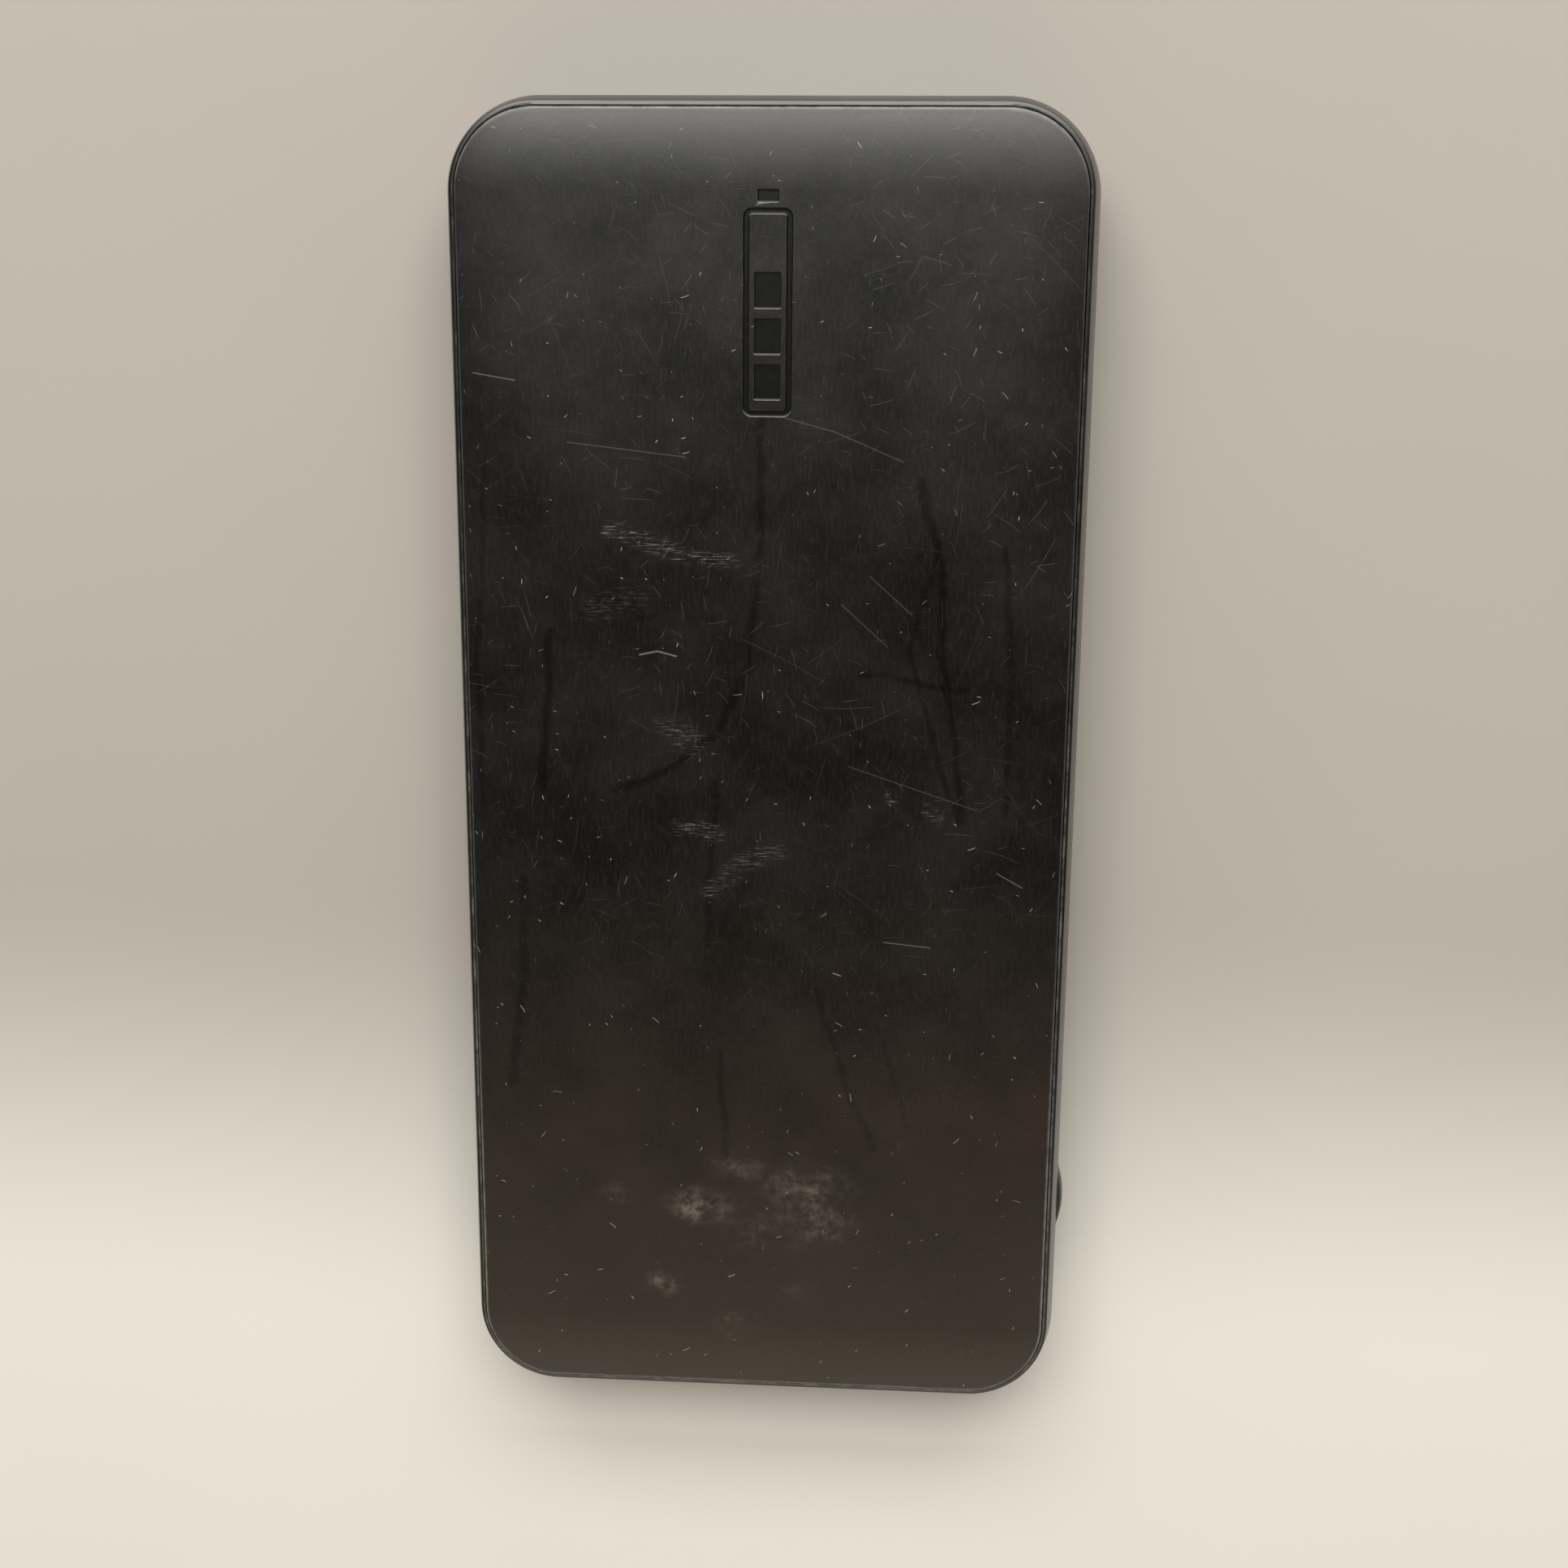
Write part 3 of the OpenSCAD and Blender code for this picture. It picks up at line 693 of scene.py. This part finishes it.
def scratch_layers(nodes, flat):
    """Random scratches, one pattern for each size."""
    return total(nodes, (
        nodes.math(
            "MULTIPLY",
            random_strokes(nodes, shifted(nodes, flat, i), cell, length, width, share, bow), strength)
        for i, (cell, length, width, share, bow, strength) in enumerate(SCRATCHES)))


SCRATCHES = [
    # (cell, length, width, share of cells, bow, strength)
    (13.0, 15.0, 0.055, 0.75, 0.008, 0.13),
    (7.5, 8.0, 0.05, 0.8, 0.015, 0.16),
    (4.4, 4.6, 0.045, 0.8, 0.03, 0.22),
    (2.4, 2.6, 0.04, 0.8, 0.08, 0.25),
]


def shifted(nodes, flat, step):
    """The face's plane moved along, so that each random pattern is its own."""
    return nodes.vector("ADD", flat, (13.7 * step, 7.9 * step, 0))


def wear_masks(nodes, place):
    """(plane of the face, cloud, smear, scuff, dust, hairline, scratch and nick masks)"""
    flat = nodes.vector("MULTIPLY", place, (1, 1, 0))
    wobble = nodes.vector(
        "SUBTRACT", nodes.noise(flat, 0.1, 2.0, out=1), (0.5, 0.5, 0.5))
    loose = nodes.vector("ADD", flat, nodes.vector("SCALE", wobble, scale=2.6))
    loose = nodes.vector("MULTIPLY", loose, (1, 1, 0))
    cloud = nodes.noise(flat, 0.07, 4.0, 0.6)
    broken = nodes.fade(nodes.noise(flat, 0.35, 3.0, 0.6), 0.32, 0.58)

    smears = drawn_strokes(nodes, loose, SMEARS)
    smear = nodes.math("MULTIPLY", smears, nodes.fade(broken, -0.6, 0.9))

    fine = nodes.vector("MULTIPLY", flat, (0.5, 6.0, 0))
    hatch = nodes.fade(nodes.noise(fine, 1.1, 4.0, 0.7, 0.4), 0.5, 0.72)
    scuff = nodes.math("MULTIPLY", drawn_strokes(nodes, loose, SCUFFS), hatch)

    speckle = nodes.fade(nodes.noise(flat, 0.7, 5.0, 0.75), 0.36, 0.68)
    clumps = nodes.fade(nodes.noise(flat, 0.3, 2.0), 0.36, 0.6, 0.25, 1.15)
    speckle = nodes.math("MULTIPLY", speckle, clumps)
    dust = nodes.math("MULTIPLY", dust_patches(nodes, loose), speckle)

    hair = drawn_strokes(nodes, flat, HAIRLINES)

    worn = nodes.fade(nodes.noise(shifted(nodes, flat, 1), 0.045, 2.0), 0.4, 0.62, 0.25, 1.0)
    scratches = scratch_layers(nodes, flat)
    worn = nodes.math("MULTIPLY", worn, nodes.fade(nodes.part(flat, Y_AXIS), -30, 20, 0.25, 1.0))
    scratch = nodes.math("MULTIPLY", scratches, worn)
    nicks = random_strokes(nodes, shifted(nodes, flat, 4), 5.2, 1.2, 0.05, 0.5, 0.12)
    nick_more = random_strokes(nodes, shifted(nodes, flat, 5), 2.4, 0.55, 0.052, 0.36, 0.25)
    patchy = nodes.fade(nodes.noise(shifted(nodes, flat, 6), 0.16, 2.0), 0.38, 0.66, 0.1, 1.0)
    nick = nodes.math("MULTIPLY", nodes.math("ADD", nicks, nick_more, clamp=True), patchy)
    return flat, cloud, smear, scuff, dust, hair, scratch, nick


def painted_mark_highlight(nodes, place):
    """Painted highlight on the lips of the pressed mark that face +Y, towards the far lights."""
    facing = nodes.add("ShaderNodeTexCoord", out=1)
    lip = nodes.fade(nodes.part(facing, Y_AXIS), 0.08, 0.4)
    depth = nodes.fade(nodes.part(place, Z_AXIS), TOP_Z / MM - 0.002, TOP_Z / MM - 0.02)
    across = nodes.math("ABSOLUTE", nodes.part(place, X_AXIS))
    side = MARK_W / MM / 2
    end = (MARK_Y + MARK_L / 2) / MM
    near = nodes.fade(across, side + 0.6, side + 0.5)
    past = nodes.fade(nodes.part(place, Y_AXIS), end + 0.4, end + 0.3)
    return nodes.math(
        "MULTIPLY", nodes.math("MULTIPLY", lip, depth), nodes.math("MULTIPLY", near, past))


def cover_plastic():
    """Moulded black cover: fine grain, grease smears, hairline scratches, scuffs and dust, a worn edge
    with a painted highlight, a painted highlight on the mark's lips and a painted warm reflection towards
    the near end.
    """
    material, nodes, shader, place = new_material("cover_black")
    flat, cloud, smear, scuff, dust, hair, scratch, nick = wear_masks(nodes, place)
    height = nodes.part(place, Z_AXIS)
    length = nodes.part(place, Y_AXIS)
    # The cover's edge, lightened for wear and with a painted highlight, strongest at both ends.
    rim = nodes.fade(height, TOP_Z / MM - 0.49, TOP_Z / MM - 0.54)
    rim = nodes.math("MULTIPLY", rim, nodes.fade(nodes.noise(flat, 0.5, 4.0, 0.7), 0.3, 0.6, 0.35, 1.0))
    ends = nodes.math("MAXIMUM", nodes.fade(length, -15, -58, 0.12, 1.0), nodes.fade(length, 60, 70))
    rim = nodes.math("MULTIPLY", rim, ends)
    light_marks = total(nodes, [scuff, hair, scratch])
    drawn = nodes.vector("MULTIPLY", flat, (3.2, 0.55, 0))
    streak = nodes.fade(nodes.noise(drawn, 1.0, 4.0, 0.7), 0.42, 0.7)

    warm = (1, 0.88, 0.76)
    base = nodes.blend(nodes.fade(cloud, 0.35, 0.65), grey(0.0006, warm), grey(0.003, warm))
    # Painted warm reflection of the floor: a lighter, warmer colour towards the near end, broken up by
    # the cloud noise.
    painted_warm_reflection = nodes.math("MULTIPLY", nodes.fade(length, -6, -38), nodes.fade(cloud, 0.25, 0.7, 0.6, 1.0))
    base = nodes.blend(painted_warm_reflection, base, grey(0.0095, (1, 0.56, 0.3)))
    base = nodes.blend(nodes.math("MULTIPLY", streak, 0.5), base, grey(0.0075, (1, 0.86, 0.75)))
    base = nodes.blend(nodes.math("MULTIPLY", smear, 0.9), base, grey(0.0004))
    base = nodes.blend(light_marks, base, grey(0.16, (1, 0.99, 0.97)))
    base = nodes.blend(nick, base, grey(0.26, (1, 0.99, 0.97)))
    base = nodes.blend(dust, base, grey(0.12, (1.12, 0.96, 0.78)))
    # worn edge with a painted highlight on the cover's edge
    base = nodes.blend(nodes.math("MULTIPLY", rim, 0.85), base, grey(0.15, (1, 0.96, 0.9)))
    # painted highlight on the mark's lips that face +Y
    base = nodes.blend(painted_mark_highlight(nodes, place), base, grey(0.085, (1, 0.98, 0.95)))

    rough = nodes.fade(cloud, 0.3, 0.7, 0.28, 0.34)
    rough = nodes.math("SUBTRACT", rough, nodes.math("MULTIPLY", smear, 0.045))
    rough = nodes.math("ADD", rough, nodes.math("MULTIPLY", streak, 0.025))
    rough = nodes.math("ADD", rough, nodes.math("MULTIPLY", light_marks, 0.12))
    rough = nodes.math("ADD", rough, nodes.math("MULTIPLY", dust, 0.3), clamp=True)

    grain = nodes.noise(place, 3.6, 4.0, 0.7)
    normal = nodes.bump(grain, 0.009 * MM, 0.6)
    ripple = nodes.noise(flat, 0.8, 2.0)
    normal = nodes.bump(ripple, 0.012 * MM, 0.5, normal)
    feed(nodes, shader, Base_Color=base, Roughness=rough, Normal=normal, Specular_IOR_Level=0.55)
    return material


def mark_plastic():
    """The smoother floor of the pressed mark, with a darker colour and a weaker reflection that paint
    shade into the recess.
    """
    material, nodes, shader, place = new_material("mark_black")
    cloud = nodes.noise(place, 1.2, 3.0)
    feed(
        nodes, shader, Base_Color=nodes.blend(cloud, grey(0.0008), grey(0.0014)),
        Roughness=nodes.fade(cloud, 0.3, 0.7, 0.3, 0.33),
        Normal=nodes.bump(nodes.noise(place, 6.0), 0.002 * MM, 0.5), Specular_IOR_Level=0.3)
    return material


def case_plastic():
    """Satin black housing: fine grain, rim edges worn and with a painted highlight, scraped back and a
    painted highlight in the far seam.
    """
    material, nodes, shader, place = new_material("case_black")
    rim_z, ledge_z, pocket_y = RIM_Z / MM, LEDGE_Z / MM, (HALF_L - POCKET_IN) / MM
    cloud = nodes.noise(place, 0.09, 4.0, 0.6)
    across = nodes.math("ABSOLUTE", nodes.part(place, X_AXIS))
    length = nodes.part(place, Y_AXIS)
    height = nodes.part(place, Z_AXIS)
    # The rim's inner edge, lightened for wear and with a painted highlight, stronger towards the near
    # end.
    edge_breakup = nodes.fade(nodes.noise(place, 0.45, 5.0, 0.7), 0.42, 0.7)
    edge = nodes.math("MULTIPLY_ADD", edge_breakup, 0.75, 0.25)
    edge = nodes.math("MULTIPLY", nodes.fade(height, rim_z - 0.065, rim_z - 0.03), edge)
    spots = nodes.fade(nodes.noise(place, 1.6, 4.0, 0.75), 0.66, 0.8)
    flat = nodes.vector("MULTIPLY", place, (1, 1, 0))
    under = nodes.fade(height, 0.6, 0.1)
    scrapes = total(nodes, [
        nodes.math("MULTIPLY", random_strokes(nodes, flat, 11.0, 12.0, 0.06, 0.7, 0.01), 0.5),
        nodes.math("MULTIPLY", random_strokes(
            nodes, nodes.vector("ADD", flat, (5, 9, 0)), 5.0, 5.0, 0.05, 0.7, 0.03), 0.4)])
    scrapes = nodes.math("MULTIPLY", scrapes, under)
    side = nodes.vector("MULTIPLY", place, (0.25, 0.25, 3.0))
    drag = nodes.fade(nodes.noise(side, 1.4, 5.0, 0.7), 0.62, 0.74, 0.0, 0.35)

    warm = (1, 0.95, 0.9)
    base = nodes.blend(nodes.fade(cloud, 0.35, 0.65), grey(0.003, warm), grey(0.007, warm))
    edge = nodes.math("MULTIPLY", edge, nodes.fade(length, 45, -25, 0.4, 1.0))
    # worn edge with a painted highlight on the rim's inner edge
    base = nodes.blend(edge, base, grey(0.1, (1, 0.97, 0.93)))
    # Painted highlight in the seam at the far end, on the pocket wall behind the cover's edge.
    seam = nodes.fade(length, pocket_y - 0.5, pocket_y - 0.2)
    seam = nodes.math("MULTIPLY", seam, nodes.fade(length, pocket_y + 0.02, pocket_y + 0.01))
    seam = nodes.math("MULTIPLY", seam, nodes.fade(across, 26.0, 24.0))
    seam = nodes.math("MULTIPLY", seam, nodes.fade(height, ledge_z + 0.1, rim_z - 0.2))
    base = nodes.blend(seam, base, grey(0.3, (1, 0.95, 0.86)))
    worn = total(nodes, [nodes.math("MULTIPLY", spots, 0.25), nodes.math("MULTIPLY", drag, 0.4)])
    worn = nodes.math("MULTIPLY", worn, nodes.fade(height, rim_z - 0.4, rim_z - 1.6))
    marks = nodes.math("ADD", scrapes, worn, clamp=True)
    base = nodes.blend(marks, base, grey(0.07))
    rough = nodes.fade(cloud, 0.3, 0.7, 0.24, 0.3)
    grain = nodes.bump(nodes.noise(place, 4.5, 4.0, 0.65), 0.006 * MM, 0.6)
    feed(nodes, shader, Base_Color=base, Roughness=rough, Normal=grain, Specular_IOR_Level=0.55)
    return material


def plain_plastic(name, dark, light, rough, grain=4.0, depth=0.004, tint=(1, 1, 1), clear=0.0):
    """Moulded plastic or resin with cloudy colour and a fine grain."""
    material, nodes, shader, place = new_material(name)
    cloud = nodes.noise(place, 0.6, 4.0, 0.6)
    specks = nodes.fade(nodes.noise(place, 3.0, 4.0, 0.7), 0.62, 0.8, 0.0, 0.3)
    base = nodes.blend(nodes.fade(cloud, 0.3, 0.7), grey(dark, tint), grey(light, tint))
    base = nodes.blend(specks, base, grey(min(light * 1.6, 0.95), tint))
    feed(
        nodes, shader, Base_Color=base,
        Roughness=nodes.fade(cloud, 0.3, 0.7, rough, rough + 0.1),
        Normal=nodes.bump(nodes.noise(place, grain, 4.0, 0.6), depth * MM, 0.6),
        Coat_Weight=clear)
    return material


def brushed_metal(name, colour, rough, stretch=(0.4, 6.0, 6.0)):
    """Rolled or plated metal with fine lines and dull patches."""
    material, nodes, shader, place = new_material(name)
    lines = nodes.noise(nodes.vector("MULTIPLY", place, stretch), 2.2, 5.0, 0.7)
    patch = nodes.noise(place, 0.8, 4.0, 0.6)
    base = nodes.blend(nodes.fade(patch, 0.3, 0.7), grey(0.8, colour), grey(1.0, colour))
    shade = nodes.math("MULTIPLY_ADD", lines, 0.16, rough)
    shade = nodes.math("ADD", shade, nodes.fade(patch, 0.5, 0.75, 0.0, 0.12))
    feed(
        nodes, shader, Base_Color=base, Metallic=1.0, Roughness=shade,
        Normal=nodes.bump(lines, 0.003 * MM, 0.5))
    return material


def board_green():
    """Solder mask over copper tracks with rows of vias."""
    material, nodes, shader, place = new_material("board_mask")
    flat = nodes.vector("MULTIPLY", place, (1, 1, 0))
    cells = nodes.cells(flat, 0.45, voronoi_dimensions="2D", distance="CHEBYCHEV")
    copper = nodes.fade(cells.outputs["Distance"], 0.42, 0.4)
    holes = nodes.fade(cells.outputs["Distance"], 0.11, 0.09)
    base = nodes.blend(copper, (0.006, 0.05, 0.022, 1), (0.012, 0.11, 0.045, 1))
    base = nodes.blend(holes, base, (0.55, 0.42, 0.22, 1))
    feed(
        nodes, shader, Base_Color=base,
        Roughness=nodes.fade(nodes.noise(place, 0.9), 0.3, 0.7, 0.25, 0.4),
        Normal=nodes.bump(copper, 0.03 * MM, 0.5), Coat_Weight=0.3)
    return material


def pouch_foil():
    """Creased aluminium laminate of the pouch cells."""
    material, nodes, shader, place = new_material("pouch_foil")
    creases = nodes.noise(place, 0.12, 6.0, 0.62, 0.6)
    fine = nodes.noise(place, 1.4, 4.0, 0.6)
    base = nodes.blend(fine, grey(0.55, (0.98, 1, 1.02)), grey(0.68, (0.98, 1, 1.02)))
    feed(
        nodes, shader, Base_Color=base, Metallic=0.85,
        Roughness=nodes.fade(creases, 0.3, 0.7, 0.32, 0.5),
        Normal=nodes.bump(creases, 0.12 * MM, 0.6, nodes.bump(fine, 0.01 * MM, 0.4)))
    return material


def woven_tape(name, dark, light, tint, rough=0.5):
    """Film or tape with a crossed-thread texture."""
    material, nodes, shader, place = new_material(name)
    threads = []
    for stretch in ((6.0, 0.3, 1.0), (0.3, 6.0, 1.0)):
        threads.append(nodes.noise(nodes.vector("MULTIPLY", place, stretch), 1.0, 3.0))
    weave = nodes.math("MULTIPLY", threads[0], threads[1])
    base = nodes.blend(nodes.fade(weave, 0.15, 0.35), grey(dark, tint), grey(light, tint))
    feed(
        nodes, shader, Base_Color=base, Roughness=nodes.fade(weave, 0.1, 0.4, rough, rough + 0.15),
        Normal=nodes.bump(weave, 0.02 * MM, 0.5))
    return material


def open_foam():
    """Dark foam with open cells."""
    material, nodes, shader, place = new_material("cell_foam")
    cells = nodes.cells(place, 2.6)
    pores = nodes.fade(cells.outputs["Distance"], 0.15, 0.6)
    base = nodes.blend(pores, grey(0.012), grey(0.055))
    feed(
        nodes, shader, Base_Color=base, Roughness=nodes.fade(pores, 0.0, 1.0, 0.95, 0.8),
        Normal=nodes.bump(pores, 0.15 * MM, 0.8))
    return material


def window_resin():
    """Milky light pipe resin."""
    material, nodes, shader, place = new_material("window_resin")
    cloud = nodes.noise(place, 1.5, 3.0)
    base = nodes.blend(cloud, grey(0.32, (0.97, 1, 1.02)), grey(0.42, (0.97, 1, 1.02)))
    feed(
        nodes, shader, Base_Color=base, Roughness=nodes.fade(cloud, 0.3, 0.7, 0.16, 0.28),
        Normal=nodes.bump(nodes.noise(place, 5.0), 0.003 * MM, 0.5),
        Transmission_Weight=0.35, IOR=1.49)
    return material


STEEL = (0.62, 0.63, 0.64)

SLOT_MATERIALS = {
    "case_plastic": case_plastic,
    "cover_plastic": cover_plastic,
    "button_plastic": lambda: plain_plastic("button_black", 0.009, 0.014, 0.3, 5.0, 0.003),
    "window_plastic": window_resin,
    "cell_pouch": pouch_foil,
    "tape_white": lambda: woven_tape("tape_white", 0.55, 0.72, (1, 0.98, 0.93)),
    "foam_grey": open_foam,
    "tab_nickel": lambda: brushed_metal("tab_nickel", (0.72, 0.68, 0.6), 0.25, (6.0, 0.4, 6.0)),
    "tape_amber": lambda: woven_tape("tape_amber", 0.4, 0.6, (0.9, 0.42, 0.06), 0.25),
    "lead_red": lambda: plain_plastic("lead_red", 0.28, 0.36, 0.4, 3.0, 0.01, (1, 0.06, 0.05)),
    "lead_black": lambda: plain_plastic("lead_black", 0.012, 0.02, 0.4, 3.0, 0.01),
    "board_green": board_green,
    "screw_steel": lambda: brushed_metal("screw_steel", STEEL, 0.3, (6.0, 6.0, 0.6)),
    "socket_steel": lambda: brushed_metal("socket_steel", (0.7, 0.71, 0.72), 0.2),
    "insulator_white": lambda: plain_plastic("insulator_white", 0.7, 0.78, 0.4, 4.0, 0.004),
    "insulator_black": lambda: plain_plastic("insulator_black", 0.012, 0.02, 0.42),
    "contact_gold": lambda: brushed_metal("contact_gold", (0.9, 0.66, 0.3), 0.18),
    "switch_plastic": lambda: plain_plastic("switch_plastic", 0.015, 0.025, 0.4),
    "led_resin": lambda: plain_plastic("led_resin", 0.6, 0.75, 0.2, 5.0, 0.002, (1, 0.97, 0.86), 0.4),
    "ferrite": lambda: plain_plastic("ferrite_grey", 0.04, 0.06, 0.7, 6.0, 0.02),
    "chip_resin": lambda: plain_plastic("chip_resin", 0.014, 0.022, 0.55, 7.0, 0.008),
    "can_aluminium": lambda: brushed_metal("can_aluminium", (0.78, 0.79, 0.8), 0.28, (6.0, 6.0, 0.4)),
    "ceramic_tan": lambda: plain_plastic("ceramic_tan", 0.24, 0.32, 0.45, 6.0, 0.006, (1, 0.78, 0.52)),
}


def dress_frame(materials):
    """Gives every shown CAD node the material of its record slot."""
    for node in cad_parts.values():
        for slot in node.material_slots:
            name = slot.material.name.split(".")[0]
            slot.material = materials[name]


def dress(piece, material, second=None):
    """Gives a piece its material, and a second one that starts on no face."""
    piece.data.materials.clear()
    piece.data.materials.append(material)
    if second is not None:
        piece.data.materials.append(second)
    for polygon in piece.data.polygons:
        polygon.material_index = 0


def dress_mark(cover):
    """The walls and floor of the pressed mark use the second material."""
    margin = 0.1 * MM
    for polygon in cover.data.polygons:
        x, y, z = polygon.center
        inside = abs(x) < MARK_W / 2 + margin and abs(y - MARK_Y) < MARK_L / 2 + margin
        if inside and TOP_Z - 2 * MARK_DEPTH < z < TOP_Z - 0.11 * MM:
            polygon.material_index = 1


# ---- stage, lights and camera ----

WHITE = (1.0, 0.985, 0.94)

LIGHTS = [
    # (name, y of the target, tilt from upright towards +Y, distance, size, radiance, colour)
    ("far_box", 0.06, 29, 0.75, (0.76, 0.25), 8.7, WHITE),
    ("rear_box", 0, 54, 0.8, (0.8, 0.22), 10.0, WHITE),
    ("middle_box", 0.06, 13.5, 0.76, (0.76, 0.16), 1.75, WHITE),
    ("near_box", -0.05, -43, 0.75, (0.9, 0.44), 1.15, (1.0, 0.81, 0.585)),
]

FLOOR_TONES = ((0.312, 0.29, 0.262, 1), (0.6, 0.58, 0.545, 1))
FLOOR_REACH = 3.0
FLOOR_Z = -0.02 * MM

CAMERA_PLACE = (14.62 * MM, 50.9 * MM, 221.19 * MM)
CAMERA_TURN = (-13.474, 3.587, 0.484)  # degrees
CAMERA_LENS = 44.986  # millimetres, on a sensor 36 wide


def make_floor():
    """A plain pale floor, a little darker past the far end as the photograph's backdrop is."""
    bm = bmesh.new()
    steps = 12
    span = [-FLOOR_REACH + 2 * FLOOR_REACH * i / steps for i in range(steps + 1)]
    grid = [[bm.verts.new((x, y, FLOOR_Z)) for x in span] for y in span]
    for j in range(steps):
        for i in range(steps):
            bm.faces.new((grid[j][i], grid[j][i + 1], grid[j + 1][i + 1], grid[j + 1][i]))
    floor = mesh_object("floor", bm)
    material, nodes, shader, place = new_material("floor_pale")
    cloud = nodes.noise(place, 0.02, 4.0, 0.55)
    near = nodes.fade(nodes.part(place, Y_AXIS), -15, -75, 0.0, 0.94)
    base = nodes.blend(nodes.math("MULTIPLY_ADD", cloud, 0.06, near), *FLOOR_TONES)
    feed(
        nodes, shader, Base_Color=base, Roughness=0.85, Specular_IOR_Level=0.2,
        Normal=nodes.bump(nodes.noise(place, 1.2, 4.0, 0.6), 0.02 * MM, 0.4))
    dress(floor, material)


def soft_box(name, target_y, tilt, distance, size, radiance, colour):
    """An area light that faces a point on the object's middle line."""
    light = bpy.data.lights.new(name, "AREA")
    light.shape = "RECTANGLE"
    light.size, light.size_y = size
    light.energy = radiance * math.pi * size[0] * size[1]
    light.color = colour
    lamp = bpy.data.objects.new(name, light)
    angle = math.radians(tilt)
    ray = Vector((0, math.sin(angle), math.cos(angle)))
    lamp.location = Vector((0, target_y, 0)) + ray * distance
    lamp.rotation_euler = ray.to_track_quat("Z", "Y").to_euler()
    bpy.context.scene.collection.objects.link(lamp)


def make_world():
    """Dim overhead, pale towards the horizon."""
    world = bpy.data.worlds.new("studio")
    bpy.context.scene.world = world
    world.use_nodes = True
    nodes = Nodes(world.node_tree)
    way = nodes.add("ShaderNodeTexCoord", out=0)
    strength = nodes.fade(nodes.part(way, Z_AXIS), 0.35, 0.8, 0.8, 0.02)
    back = world.node_tree.nodes["Background"]
    nodes.put(back.inputs["Color"], (1.0, 0.96, 0.9, 1))
    nodes.put(back.inputs["Strength"], strength)


def make_camera():
    """The photograph's view: above the object, a little towards the +Y end."""
    data = bpy.data.cameras.new("camera")
    data.sensor_width = 36
    data.lens = CAMERA_LENS
    data.clip_start, data.clip_end = 0.01, 10
    camera = bpy.data.objects.new("camera", data)
    camera.location = CAMERA_PLACE
    camera.rotation_euler = Euler([math.radians(turn) for turn in CAMERA_TURN])
    bpy.context.scene.collection.objects.link(camera)
    bpy.context.scene.camera = camera


# ---- put together ----

materials = {name: make() for name, make in SLOT_MATERIALS.items()}
dress_frame(materials)

case = make_case()
dress(case, materials["case_plastic"])
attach(case, "case")
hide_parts("rear_housing")

cover = make_cover()
dress(cover, materials["cover_plastic"], mark_plastic())
dress_mark(cover)
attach(cover, "case")
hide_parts("front_cover")

button = make_button()
dress(button, materials["button_plastic"])
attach(button, "button")
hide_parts("power_button")

make_floor()
for light in LIGHTS:
    soft_box(*light)
make_world()
make_camera()
bpy.context.scene.view_settings.view_transform = "Standard"
